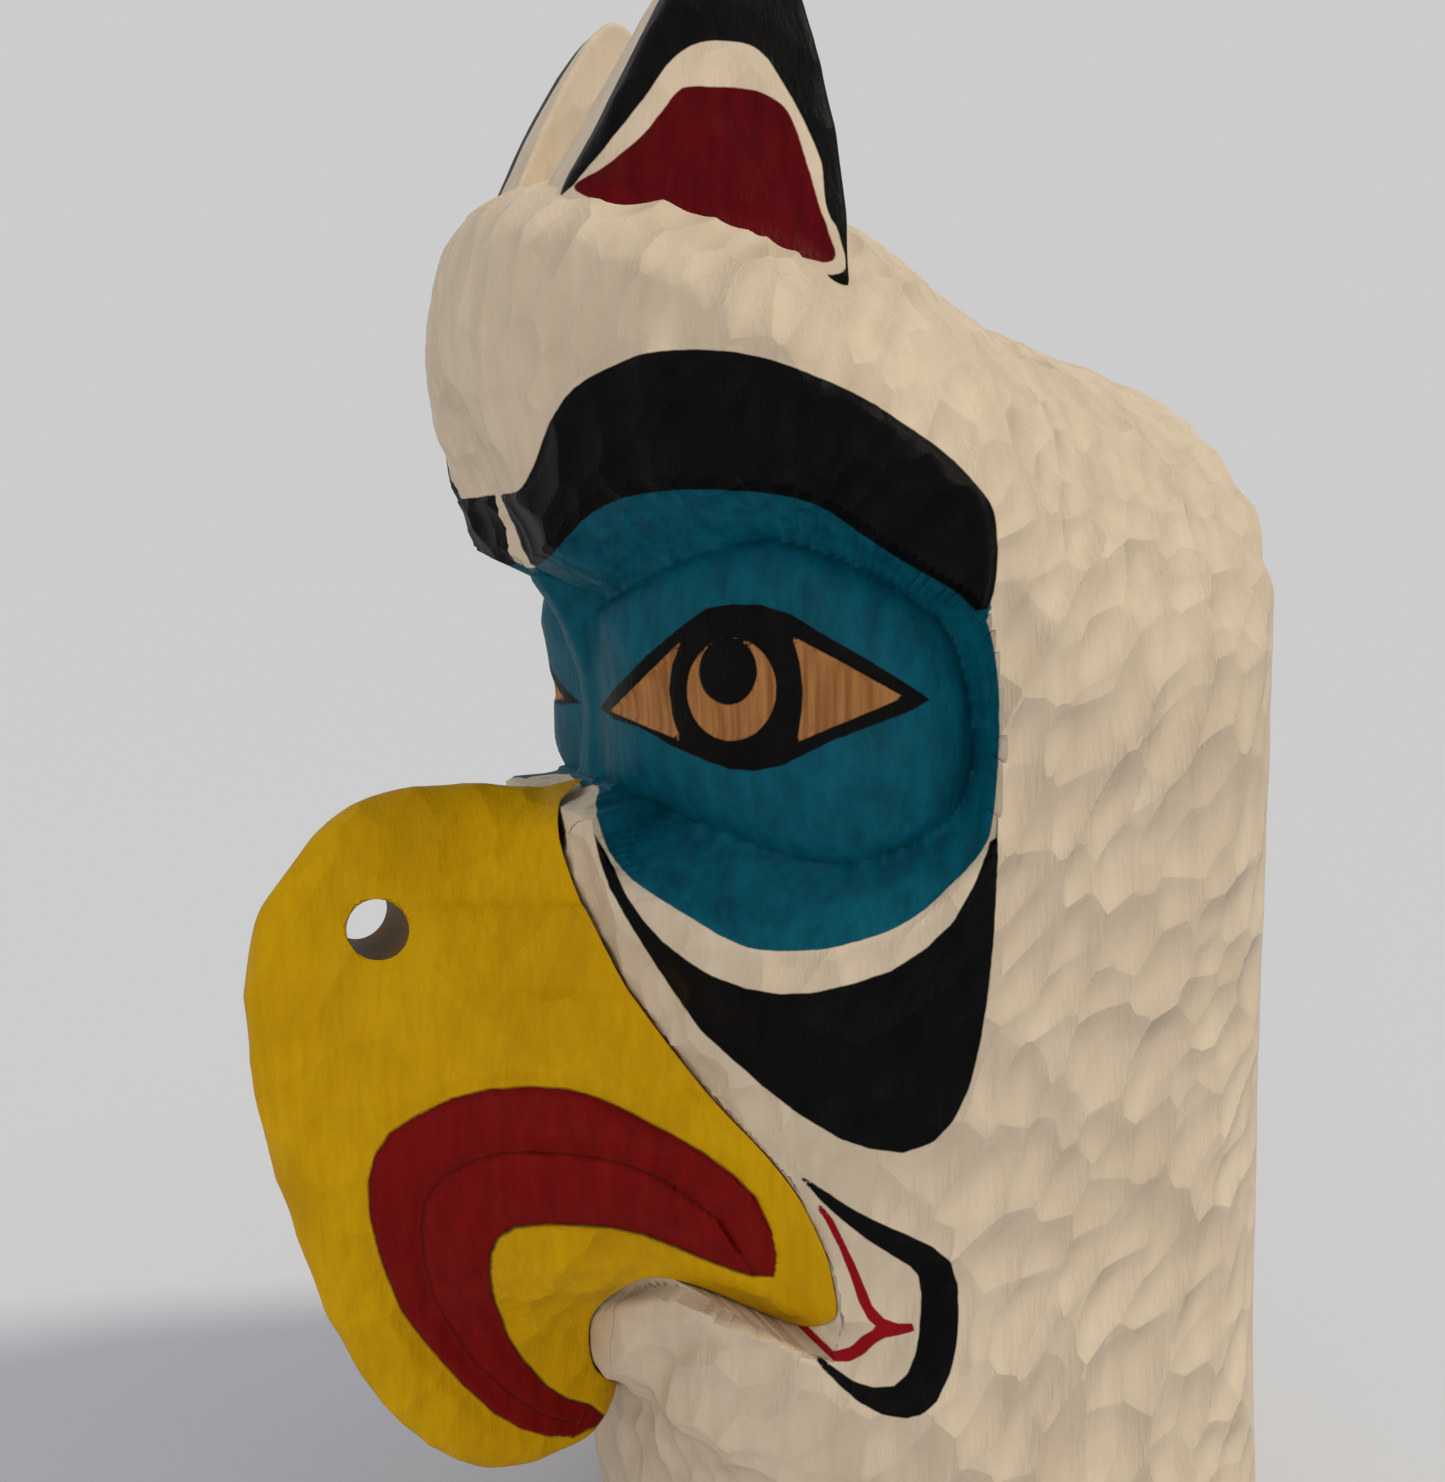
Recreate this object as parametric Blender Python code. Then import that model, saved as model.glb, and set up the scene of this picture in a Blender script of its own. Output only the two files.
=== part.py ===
"""Eagle head from a painted totem pole, made as a bust with a flat underside.

Two carved pieces of cedar: the log with its forehead, ears, eye sockets, cheeks, lower jaw
and neck, and the hooked beak, a block of its own that is planted on the face. The figure
looks along -Y, its left side is +X, and the origin is the middle of the flat underside.

The free forms are drawn in design millimetres, as shares of the overall sizes below. The
carved lines of the face are points of the reference photograph, in its pixels, and are laid
on the wood by the camera that it was taken with.
"""

import math

import bmesh
import bpy
import numpy as np
from mathutils import Vector
from mathutils.geometry import delaunay_2d_cdt

# Driving dimensions, metres
HEAD_HEIGHT = 0.975          # flat underside to the tips of the ears
LOG_WIDTH = 0.500            # across the log at the eyes
BUST_DEPTH = 0.526           # flat back to the front of the beak
NOSTRIL_BORE = 0.033         # auger hole through both sides of the beak
JOINT_GAP = 0.0008           # between the beak's root and the face
EAR_THICKNESS = 0.074        # at the foot of the ear
EAR_TIP_THICKNESS = 0.034

# The drawing's own sizes, in design millimetres
DRAWN_HEIGHT = 975.0
DRAWN_WIDTH = 500.0
DRAWN_DEPTH = 526.0
BACK_PLANE = 100.0           # the flat back lies at this Y

# Metres that a design millimetre takes along X, Y and Z
METRES = np.array([LOG_WIDTH / DRAWN_WIDTH, BUST_DEPTH / DRAWN_DEPTH, HEAD_HEIGHT / DRAWN_HEIGHT])

# The log's horizontal sections, as (height, size) pairs
FRONT_REACH = (
    (0, 192), (60, 204), (120, 205), (150, 213), (175, 230), (205, 233), (250, 226), (300, 219),
    (360, 224), (410, 241), (455, 254), (500, 262), (560, 263), (620, 270), (660, 281),
    (700, 298), (750, 310), (790, 309), (830, 297), (870, 270), (930, 240),
)
HALF_WIDTH = ((0, 270), (100, 262), (200, 253), (300, 250), (600, 250), (930, 250))
CROWN_TOP = ((-330, 836), (-290, 842), (-266, 850), (-228, 863), (-200, 867), (-150, 862), (-81, 834),
             (-59, 818), (-19, 796), (22, 782), (64, 770), (110, 755))
FRONT_SQUARENESS = 2.3       # 2 is a round front, more is squarer
BACK_SQUARENESS = 3.0
BACK_SWELL = 140.0           # how far back the rounded side would reach, uncut
CROWN_ARCH = 250.0           # drop of the crown from its middle to the side of the log
CROWN_SOFTNESS = 0.05        # rounding between crown and sides, as a share of the radius

# The surface is spun around this axis, and above AXIS_TOP it closes like a dome
AXIS_Y = -60.0
AXIS_TOP = 560.0
WELL_OUTSIDE = 600.0         # no place of the log is this far from its axis

# The camera that the carved lines were read with, in design millimetres and pixels
CAMERA_AZIMUTH = math.radians(68.0)
CAMERA_PITCH = math.radians(6.0)
CAMERA_TARGET = np.array([-50.0, -120.0, 530.0])
CAMERA_DISTANCE = 1120.0
CAMERA_FOCUS = 1760.0
PHOTO_CENTRE = np.array([722.5, 741.0])
PIXEL = 0.60                 # design millimetres that one pixel covers on the near side

# Carved lines, as points of the photograph
BROW_LINE = (
    (502, 494), (521, 488), (535, 462), (573, 389), (604, 370), (680, 350), (772, 360), (864, 398),
    (944, 452), (992, 507), (997, 550), (983, 614), (956, 592), (879, 546), (822, 507), (787, 496),
    (695, 489), (615, 500), (573, 530), (537, 567), (480, 590), (460, 494),
)
SOCKET_LINE = (
    (400, 600), (470, 572), (537, 567), (573, 530), (615, 500), (695, 489), (787, 496), (822, 507),
    (879, 546), (956, 592), (984, 615), (997, 669), (999, 746), (992, 825), (958, 878), (891, 930),
    (818, 950), (759, 950), (699, 923), (639, 885), (606, 845), (595, 809), (599, 786), (580, 789),
    (557, 800), (552, 860), (400, 860),
)
EYEBALL_LINE = (
    (588, 622), (650, 576), (757, 540), (833, 557), (910, 599), (964, 673), (974, 746), (954, 812),
    (891, 853), (812, 862), (739, 839), (666, 810), (606, 789), (596, 700),
)
CHEEK_BEVEL_LINE = (
    (599, 780), (599, 837), (626, 895), (662, 941), (712, 976), (779, 994), (852, 984), (924, 950),
    (974, 885), (997, 792), (985, 700), (800, 650), (640, 700),
)
JAW_LINE = (
    (560, 1349), (590, 1310), (628, 1288), (682, 1286), (741, 1316), (825, 1350), (770, 1352),
    (708, 1339), (691, 1335), (653, 1344), (630, 1375), (600, 1400), (560, 1390),
)
THROAT_HOLLOW_LINE = (
    (708, 1340), (695, 1358), (678, 1411), (654, 1441), (630, 1426), (618, 1400), (640, 1352),
    (672, 1334),
)
LIP_LINE = (
    (825, 1353), (774, 1337), (741, 1320), (708, 1302), (682, 1290), (655, 1286), (634, 1290),
)

# Where one carved form gives way to the next, in pixels across the photograph
BRIDGE_GIVES_WAY = (560, 650)
NOSE_GIVES_WAY = (588, 612)
SHALLOWS_GIVE_WAY = (590, 680)
TOWARD_TEMPLE = (640, 960)

# and down it
BRIDGE_FALLS = (560, 640)
UNDER_BROW = (600, 700)
TOWARD_CHEEK = (640, 800)
NOSE_BEGINS = (720, 780)
NOSE_ENDS = (785, 815)
JAW_EDGE = 16.0
HOLLOW_EDGE = 40.0

# How deep each form is cut or raised, in millimetres of the drawing
BROW_RAISE = 4.0
BROW_EDGE = 4.0              # width of the bevel along the raised brow
BRIDGE_DEPTH = ((510, 34), (540, 36), (575, 36), (600, 32), (625, 26), (645, 17), (660, 14))
BRIDGE_SPREAD = (6, 36)      # the nose bridge has its own depth near the middle of the face
BRIDGE_RISES = (500, 518)    # between these heights
BRIDGE_STOPS = (640, 660)
BRIDGE_TOP_CUT = 12.0
NOSE_CUT = 34.0              # the face falls back this far beside the root of the beak
BROW_OVERHANG = 0.45         # 0 slopes the socket evenly in under the brow, more cuts it steeper
CREASE_DEPTH_FRONT = 56.0    # the crease around the eyeball, beside the bridge
CREASE_DEPTH_SIDE = 32.0     # and at the temple
CREASE_SHALLOWS = 10.0       # the crease rises by this where it meets the bridge
CHEEK_BEVEL_DEPTH = 8.0
EYEBALL_RISE_FRONT = 26.0
EYEBALL_RISE_SIDE = 22.0
BROW_DIP = 17.0              # the hollow between the two brows
DIP_SPREAD = (5, 75)
DIP_BEGINS = (580, 640)
DIP_STOPS = (700, 780)
CARVING_FADES = (40, 80)     # no carving behind these places of Y
WEDGE_BEGINS = (560, 600)
PARTING_EDGE = (-1.5, 1.5)
PARTING_TOP = 692.0          # the bare wedge between the brows starts at this height
PARTING_DROP = 48.0          # and ends this far below it
PARTING_SLOPE = 0.42         # half-width that it gains per millimetre
EYEBALL_ROUND = 62.0         # from the crease to the crest of the eyeball
JAW_ROLL = 7.0               # the rim of the lower jaw stands out by this much
THROAT_HOLLOW_DEPTH = 8.0
LIP_ROUND = 9.0              # rounding of the lower lip along the mouth

# The beak from the side, as (y, z) points: the ridge from the brow side round the hook
RIDGE_LINE = (
    (-229, 517), (-252, 514), (-285, 517), (-325, 518), (-352, 514), (-378, 501), (-402, 473),
    (-419, 445), (-426, 408), (-423, 360), (-414, 310), (-399, 258), (-381, 205), (-354, 156),
    (-320, 119), (-284, 103), (-250, 106), (-228, 114), (-213, 132), (-211, 145),
)
MOUTH_LINE = (
    (-211, 145), (-223, 155), (-232, 168), (-236, 190), (-235, 215), (-231, 240), (-222, 250),
    (-203, 248), (-177, 238), (-158, 233),
)
SEAM_LINE = (
    (-158, 233), (-155, 255), (-158, 285), (-168, 314), (-181, 335), (-201, 361), (-231, 410),
    (-249, 455), (-258, 490), (-253, 506), (-240, 513), (-229, 517),
)
BED_FRONT = ((-227, 519), (-240, 523), (-290, 560), (-600, 560), (-600, 60), (-260, 60), (-208, 122))
BEAK_HOLLOWING = 1.5         # above 1 the sides of the beak are hollow from ridge to cheek
RIDGE_ROUND = 22.0           # where the sides turn into the rounded ridge
RIDGE_HALF_THICKNESS = 17.0
NOSE_ROOT = 28.0             # half-width of the beak's root where it meets the nose bridge
NOSE_FLARE = 4.2             # how fast it widens below that
NOSE_TOP_Z = 518.0
NOSE_ENDS_Z = 455.0          # below this height the root soon spreads to the log's own width
ROOT_SPREAD = 4.0
HOOK_SHARE = 0.30            # half-width of the hook as a share of the sides above the mouth
HOOK_CORE = 0.8              # of the ridge's half-thickness, which the hook never goes under
HOOK_TOP = 262.0
HOOK_BOTTOM = 188.0
NOSTRIL_Y = -356.0
NOSTRIL_Z = 442.0

# The ear from the side, as (y, z) points, and how its outer face leans in
EAR_LINE = (
    (-262, 780), (-270, 815), (-266, 835), (-246, 873), (-226, 912), (-206, 946), (-192, 965),
    (-178, 975), (-163, 968), (-153, 945), (-147, 910), (-143, 870), (-142, 830), (-146, 780),
)
EAR_FOOT_Z = 820.0
EAR_REACH = 300.0
EAR_FACE_HALF_WIDTH = 190.0
EAR_LEAN = 0.35

# Mesh fineness
COLUMNS = 150                # of the half that is worked out and mirrored
COLUMN_CROWDING = 1.25       # above 1 the columns stand closer at the face than at the back
NECK_ROWS = 150
DOME_ROWS = 100
HEAD_TRIANGLES = 9500        # what the finely cut log is thinned out to
MAP_STEP = 3.0               # pixels between the places where the carving's depth is worked out
MAP_LOW = (380.0, 300.0)
MAP_HIGH = (1060.0, 1500.0)
CUT_STEP = 2.0               # each ray looks for the carved surface in steps of this depth
DEEPEST_CUT = 70.0
BEAK_GRID = 16.0
RIDGE_LOOPS = (0.10, 0.36, 0.80)   # loops beside the ridge, as shares of RIDGE_ROUND
RIDGE_CLEAR = 1.15           # the grid keeps this share of RIDGE_ROUND off the ridge
OUTLINE_CLEAR = 0.4          # and this share of its own spacing off the outline
SAME_PLACE = 0.01            # closer than this, a point lies on the ridge
BORE_SIDES = 32


def curve(pairs, at):
    """Smooth curve through (position, value) pairs, read at one or many positions."""
    keys = np.array([pair[0] for pair in pairs], float)
    values = np.array([pair[1] for pair in pairs], float)
    slopes = np.gradient(values, keys)
    at = np.clip(np.asarray(at, float), keys[0], keys[-1])
    i = np.clip(np.searchsorted(keys, at) - 1, 0, len(keys) - 2)
    span = keys[i + 1] - keys[i]
    t = (at - keys[i]) / span
    rise = (1 + 2 * t) * (1 - t) ** 2 * values[i] + t * t * (3 - 2 * t) * values[i + 1]
    return rise + span * (t * (1 - t) ** 2 * slopes[i] - t * t * (1 - t) * slopes[i + 1])


def ease(low, high, value):
    """0 below low, 1 above high, with a smooth step between."""
    t = np.clip((np.asarray(value, float) - low) / (high - low), 0.0, 1.0)
    return t * t * (3 - 2 * t)


def rounded(points, closed=True, steps=4):
    """Curve through the given points, with `steps` pieces between each two."""
    points = np.array(points, float)
    count = len(points)
    if closed:
        before, after, later = (np.roll(points, shift, axis=0) for shift in (1, -1, -2))
    else:
        before = np.vstack([points[:1], points[:-1]])
        after = np.vstack([points[1:], points[-1:]])
        later = np.vstack([points[2:], points[-1:], points[-1:]])
    line = []
    for k in range(count if closed else count - 1):
        for t in np.arange(steps) / steps:
            line.append(0.5 * (2 * points[k] + (after[k] - before[k]) * t
                               + (2 * before[k] - 5 * points[k] + 4 * after[k] - later[k]) * t ** 2
                               + (3 * points[k] - before[k] - 3 * after[k] + later[k]) * t ** 3))
    if not closed:
        line.append(points[-1])
    return np.array(line)


def line_distance(line, u, v, closed=True):
    """Distance from each (u, v) to a line."""
    starts = line if closed else line[:-1]
    ends = np.roll(line, -1, axis=0) if closed else line[1:]
    best = np.full(np.shape(u), 1e9)
    for a, b in zip(starts, ends):
        run = b - a
        length = max(float(run @ run), 1e-9)
        t = np.clip(((u - a[0]) * run[0] + (v - a[1]) * run[1]) / length, 0.0, 1.0)
        best = np.minimum(best, np.hypot(u - a[0] - t * run[0], v - a[1] - t * run[1]))
    return best


def inside_by(loop, u, v):
    """Distance inside a closed loop, negative outside it."""
    inside = np.zeros(np.shape(u), bool)
    for a, b in zip(loop, np.roll(loop, -1, axis=0)):
        if a[1] != b[1]:
            crossing = a[0] + (v - a[1]) * (b[0] - a[0]) / (b[1] - a[1])
            inside ^= ((a[1] > v) != (b[1] > v)) & (u < crossing)
    return np.where(inside, 1.0, -1.0) * line_distance(loop, u, v)


def camera_frame():
    """The camera's place and its right, up and backward directions."""
    back = np.array([math.sin(CAMERA_AZIMUTH) * math.cos(CAMERA_PITCH),
                     -math.cos(CAMERA_AZIMUTH) * math.cos(CAMERA_PITCH), math.sin(CAMERA_PITCH)])
    right = np.array([math.cos(CAMERA_AZIMUTH), math.sin(CAMERA_AZIMUTH), 0.0])
    return CAMERA_TARGET + CAMERA_DISTANCE * back, right, np.cross(back, right), back


def photo_point(points):
    """Where points of the figure's left half fall in the photograph."""
    eye, right, up, back = camera_frame()
    seen = points - eye
    depth = -(seen @ back)
    return (PHOTO_CENTRE[0] + CAMERA_FOCUS * (seen @ right) / depth,
            PHOTO_CENTRE[1] - CAMERA_FOCUS * (seen @ up) / depth)


def log_excess(x, y, z):
    """Below 0 inside the uncarved log, above 0 outside it."""
    reach = np.where(y < 0, curve(FRONT_REACH, z), BACK_SWELL)
    power = np.where(y < 0, FRONT_SQUARENESS, BACK_SQUARENESS)
    width = curve(HALF_WIDTH, z)
    across = np.abs(x) / width
    section = (across ** FRONT_SQUARENESS + (np.abs(y) / reach) ** power) ** (1 / power) - 1
    arch = CROWN_ARCH * (1 - np.sqrt(np.clip(1 - across ** 2, 0, 1)))
    crown = (z - curve(CROWN_TOP, y) + arch) / CROWN_ARCH
    blend = np.clip(CROWN_SOFTNESS - np.abs(section - crown), 0, None) / CROWN_SOFTNESS
    return np.maximum(section, crown) + blend ** 2 * CROWN_SOFTNESS / 4


def log_surface(origins, rays):
    """Where each ray from inside the log meets its uncarved surface."""
    near = np.zeros(len(rays))
    far = np.full(len(rays), WELL_OUTSIDE)
    for _ in range(40):
        middle = (near + far) / 2
        out = log_excess(*(origins + rays * middle[:, None]).T) > 0
        far = np.where(out, middle, far)
        near = np.where(out, near, middle)
    return origins + rays * near[:, None]


def carving_depth(u, v):
    """How deep the face is carved below the log's surface at places of the photograph."""
    socket = inside_by(rounded(SOCKET_LINE), u, v)
    eyeball = inside_by(rounded(EYEBALL_LINE), u, v)
    bevel = inside_by(rounded(CHEEK_BEVEL_LINE), u, v)
    brow = inside_by(rounded(BROW_LINE), u, v)
    jaw = inside_by(rounded(JAW_LINE), u, v)
    hollow = inside_by(rounded(THROAT_HOLLOW_LINE), u, v)

    toward_bridge = 1 - ease(*BRIDGE_GIVES_WAY, u)
    toward_temple = ease(*TOWARD_TEMPLE, u)
    toward_cheek = ease(*TOWARD_CHEEK, v)
    bridge = BRIDGE_TOP_CUT + (NOSE_CUT - BRIDGE_TOP_CUT) * ease(*BRIDGE_FALLS, v)
    rim = CHEEK_BEVEL_DEPTH * toward_cheek * (1 - toward_bridge) + bridge * toward_bridge
    crease = CREASE_DEPTH_FRONT + (CREASE_DEPTH_SIDE - CREASE_DEPTH_FRONT) * toward_temple
    crease -= CREASE_SHALLOWS * (1 - ease(*SHALLOWS_GIVE_WAY, u))
    rise = EYEBALL_RISE_FRONT + (EYEBALL_RISE_SIDE - EYEBALL_RISE_FRONT) * toward_temple

    wall = np.clip(socket / (socket + np.abs(eyeball) + 1e-6), 0, 1)
    wall = wall ** (1 - BROW_OVERHANG * (1 - ease(*UNDER_BROW, v)))
    dome = np.clip(eyeball * PIXEL / EYEBALL_ROUND, 0, 1)
    depth = rim + (crease - rim) * wall
    depth = np.where(eyeball > 0, crease - rise * np.sqrt(1 - (1 - dome) ** 2), depth)
    shelf = CHEEK_BEVEL_DEPTH * np.clip(bevel / (bevel + np.abs(socket) + 1e-6), 0, 1)
    depth = np.where(socket > 0, depth, np.where(bevel > 0, shelf * toward_cheek, 0.0))
    nose = ease(*NOSE_BEGINS, v) * (1 - ease(*NOSE_ENDS, v)) * (1 - ease(*NOSE_GIVES_WAY, u))
    depth = np.maximum(depth, NOSE_CUT * nose)
    depth -= BROW_RAISE * ease(0, BROW_EDGE / PIXEL, brow)
    depth -= JAW_ROLL * ease(0, JAW_EDGE, jaw)
    lip = line_distance(rounded(LIP_LINE, closed=False), u, v, closed=False) * PIXEL
    turn = np.clip(lip / LIP_ROUND, 0, 1)
    depth += LIP_ROUND * (1 - np.sqrt(1 - (1 - turn) ** 2))
    return depth + THROAT_HOLLOW_DEPTH * ease(0, HOLLOW_EDGE, hollow)


def depth_map():
    """The carving's depth over the photograph, softened a little as a tool leaves it."""
    u = np.arange(MAP_LOW[0], MAP_HIGH[0], MAP_STEP)
    v = np.arange(MAP_LOW[1], MAP_HIGH[1], MAP_STEP)
    cut = np.pad(carving_depth(*np.meshgrid(u, v)), 1, mode="edge")
    beside = cut[:-2, 1:-1] + cut[2:, 1:-1] + cut[1:-1, :-2] + cut[1:-1, 2:]
    return (beside + 4 * cut[1:-1, 1:-1]) / 8


def read_map(depths, u, v):
    """Depths between the places of the map."""
    column = np.clip((u - MAP_LOW[0]) / MAP_STEP, 0, depths.shape[1] - 1.001)
    row = np.clip((v - MAP_LOW[1]) / MAP_STEP, 0, depths.shape[0] - 1.001)
    i, j = row.astype(int), column.astype(int)
    s, t = row - i, column - j
    upper = depths[i, j] * (1 - t) + depths[i, j + 1] * t
    lower = depths[i + 1, j] * (1 - t) + depths[i + 1, j + 1] * t
    return upper * (1 - s) + lower * s


def parting(z):
    """Half-width of the bare wedge between the two brows."""
    return PARTING_SLOPE * np.clip(PARTING_TOP - z, 0, PARTING_DROP)


def carved(points, rays):
    """Cut the carving into points of the log's left half, each back along its own ray."""
    depths = depth_map()
    x, y, z = points.T
    facing = 1 - ease(*CARVING_FADES, y)
    middle = (1 - ease(*BRIDGE_SPREAD, x)) * ease(*BRIDGE_RISES, z) * (1 - ease(*BRIDGE_STOPS, z))
    dip = BROW_DIP * (1 - ease(*DIP_SPREAD, x)) * ease(*DIP_BEGINS, z) * (1 - ease(*DIP_STOPS, z))
    wedge = (1 - ease(*PARTING_EDGE, x - parting(z))) * ease(*WEDGE_BEGINS, z) * (z < PARTING_TOP)
    dip += BROW_RAISE * wedge
    cut = np.full(len(points), -BROW_RAISE - JAW_ROLL)
    short_before = np.full(len(points), 1.0)
    done = np.zeros(len(points), bool)
    for tried in np.arange(-BROW_RAISE - JAW_ROLL, DEEPEST_CUT, CUT_STEP):
        wanted = read_map(depths, *photo_point(points - rays * tried)) * facing + dip
        wanted += (curve(BRIDGE_DEPTH, z) - wanted) * middle
        short = wanted - tried
        reached = (short <= 0) & ~done
        share = short_before / np.maximum(short_before - short, 1e-6)
        cut = np.where(reached, tried - CUT_STEP * (1 - np.clip(share, 0, 1)), cut)
        done |= reached
        short_before = np.where(done, short_before, short)
    return points - rays * np.where(done, cut, DEEPEST_CUT)[:, None]


def new_object(name, mesh_data, material):
    """Write a bmesh to an object of its own in the scene."""
    mesh = bpy.data.meshes.new(name)
    mesh_data.to_mesh(mesh)
    mesh_data.free()
    mesh.materials.append(material)
    made = bpy.data.objects.new(name, mesh)
    bpy.context.scene.collection.objects.link(made)
    return made


def painted_wood(name, colour, roughness):
    """Paint on cedar: a plain Principled material."""
    material = bpy.data.materials.new(name)
    material.use_nodes = True
    shader = material.node_tree.nodes["Principled BSDF"]
    shader.inputs["Base Color"].default_value = (*colour, 1.0)
    shader.inputs["Roughness"].default_value = roughness
    shader.inputs["Metallic"].default_value = 0.0
    return material


def to_metres(point):
    """A point of the drawing at its real size and place."""
    return tuple(float(v) for v in np.asarray(point) * METRES)


def make_log(material):
    """The log with its carved face: half of it is spun as a grid and mirrored."""
    angles = math.pi * (np.arange(COLUMNS + 1) / COLUMNS) ** COLUMN_CROWDING
    row = np.arange(NECK_ROWS + DOME_ROWS)
    height = AXIS_TOP * np.minimum(row / NECK_ROWS, 1.0)
    lift = math.pi / 2 * np.maximum(row - NECK_ROWS, 0) / DOME_ROWS
    height, turn = np.meshgrid(height, angles, indexing="ij")
    lift = np.meshgrid(lift, angles, indexing="ij")[0]
    rays = np.stack([np.sin(turn) * np.cos(lift), -np.cos(turn) * np.cos(lift), np.sin(lift)], -1)
    origins = np.stack([0 * height, 0 * height + AXIS_Y, height], -1)
    rays[:, [0, -1], 0] = 0.0
    rays = rays.reshape(-1, 3)
    points = carved(log_surface(origins.reshape(-1, 3), rays), rays)
    points[:, 1] = np.minimum(points[:, 1], BACK_PLANE)
    rows = points.reshape(len(row), len(angles), 3)
    rows[0, :, 2] = 0.0
    top = log_surface(np.array([[0.0, AXIS_Y, AXIS_TOP]]), np.array([[0.0, 0.0, 1.0]]))[0]

    mesh_data = bmesh.new()
    rings = []
    for ring in rows:
        left = [mesh_data.verts.new(to_metres(point)) for point in ring]
        right = [mesh_data.verts.new(to_metres(point * (-1, 1, 1))) for point in ring[1:-1]]
        rings.append(left + right[::-1])
    for lower, upper in zip(rings, rings[1:]):
        for k in range(len(lower)):
            following = (k + 1) % len(lower)
            mesh_data.faces.new((lower[k], lower[following], upper[following], upper[k]))
    tip = mesh_data.verts.new(to_metres(top))
    for k in range(len(rings[-1])):
        mesh_data.faces.new((rings[-1][k], rings[-1][(k + 1) % len(rings[-1])], tip))
    mesh_data.faces.new(rings[0][::-1])
    return new_object("eagle_head", mesh_data, material)


def ear_face_x(y, z):
    """Half-width of the ear's outer face, which follows the log round and leans in."""
    width = EAR_FACE_HALF_WIDTH - EAR_LEAN * (z - EAR_FOOT_Z)
    return width * (1 - (abs(y) / EAR_REACH) ** FRONT_SQUARENESS) ** (1 / FRONT_SQUARENESS)


def make_ear(side, material):
    """One ear, a tapering blade with a curved outer face."""
    mesh_data = bmesh.new()
    line = rounded(EAR_LINE, closed=False, steps=3)
    outer, inner = [], []
    for y, z in line:
        x = ear_face_x(y, z)
        share = min(max((z - EAR_FOOT_Z) / (DRAWN_HEIGHT - EAR_FOOT_Z), 0.0), 1.0)
        thickness = EAR_THICKNESS + (EAR_TIP_THICKNESS - EAR_THICKNESS) * share
        place = to_metres((x, y, z))
        outer.append(mesh_data.verts.new((side * place[0], place[1], place[2])))
        inner.append(mesh_data.verts.new((side * (place[0] - thickness), place[1], place[2])))
    count = len(line)
    for k in range(count):
        following = (k + 1) % count
        mesh_data.faces.new((outer[k], outer[following], inner[following], inner[k]))
    for ring in (outer, inner):
        centre = mesh_data.verts.new(sum((vertex.co for vertex in ring), Vector()) / count)
        for k in range(count):
            mesh_data.faces.new((ring[k], ring[(k + 1) % count], centre))
    bmesh.ops.recalc_face_normals(mesh_data, faces=mesh_data.faces)
    return new_object("ear", mesh_data, material)


def seam_half_width(z):
    """Half the width of the log where the beak's seam runs over it at a height."""
    seam = np.array(SEAM_LINE, float)
    order = np.argsort(seam[:, 1])
    y = np.interp(z, seam[order, 1], seam[order, 0])
    reach = curve(FRONT_REACH, z)
    share = np.clip(1 - (np.abs(y) / reach) ** FRONT_SQUARENESS, 0.01, 1)
    on_log = curve(HALF_WIDTH, z) * share ** (1 / FRONT_SQUARENESS)
    at_nose = NOSE_ROOT + NOSE_FLARE * np.sqrt(np.clip(NOSE_TOP_Z - z, 0, None))
    return np.minimum(on_log, at_nose + ROOT_SPREAD * np.clip(NOSE_ENDS_Z - z, 0, None))


def beak_half_width(y, z):
    """Half the beak's width at a place of its side view."""
    to_ridge = line_distance(rounded(RIDGE_LINE, closed=False), y, z, closed=False)
    to_seam = line_distance(rounded(SEAM_LINE, closed=False), y, z, closed=False)
    share = to_ridge / (to_ridge + to_seam + 1e-6)
    wide = seam_half_width(z)
    flank = RIDGE_HALF_THICKNESS + (wide - RIDGE_HALF_THICKNESS) * share ** BEAK_HOLLOWING
    hook = HOOK_SHARE + (1 - HOOK_SHARE) * ease(HOOK_BOTTOM, HOOK_TOP, z)
    core = RIDGE_HALF_THICKNESS * HOOK_CORE
    flank = core + (flank - core) * hook
    turn = np.clip(to_ridge / RIDGE_ROUND, 0, 1)
    return flank * np.sqrt(1 - (1 - turn) ** 2)


def side_view_grid(outline, ridge_count):
    """Triangles that fill the beak's side view, finer along the ridge."""
    loop = np.array(outline)
    inner = []
    forward = np.roll(loop, -1, axis=0) - np.roll(loop, 1, axis=0)
    normal = np.stack([-forward[:, 1], forward[:, 0]], axis=1)
    normal /= np.linalg.norm(normal, axis=1)[:, None]
    for share in RIDGE_LOOPS:
        inner.append((loop + normal * RIDGE_ROUND * share)[1:ridge_count - 1])
    low, high = loop.min(axis=0), loop.max(axis=0)
    grid = np.stack(np.meshgrid(np.arange(low[0], high[0], BEAK_GRID),
                                np.arange(low[1], high[1], BEAK_GRID)), axis=-1).reshape(-1, 2)
    depth = inside_by(loop, grid[:, 0], grid[:, 1])
    ridge = loop[:ridge_count]
    off_ridge = line_distance(ridge, grid[:, 0], grid[:, 1], closed=False)
    inner.append(grid[(depth > BEAK_GRID * OUTLINE_CLEAR) & (off_ridge > RIDGE_ROUND * RIDGE_CLEAR)])
    points = np.vstack([loop] + [part[inside_by(loop, part[:, 0], part[:, 1]) > 1.0]
                                 for part in inner])
    ring = [(k, (k + 1) % len(loop)) for k in range(len(loop))]
    filled = delaunay_2d_cdt([Vector(p) for p in points], ring, [], 1, 1e-5)
    return np.array([tuple(v) for v in filled[0]]), filled[2]


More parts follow.
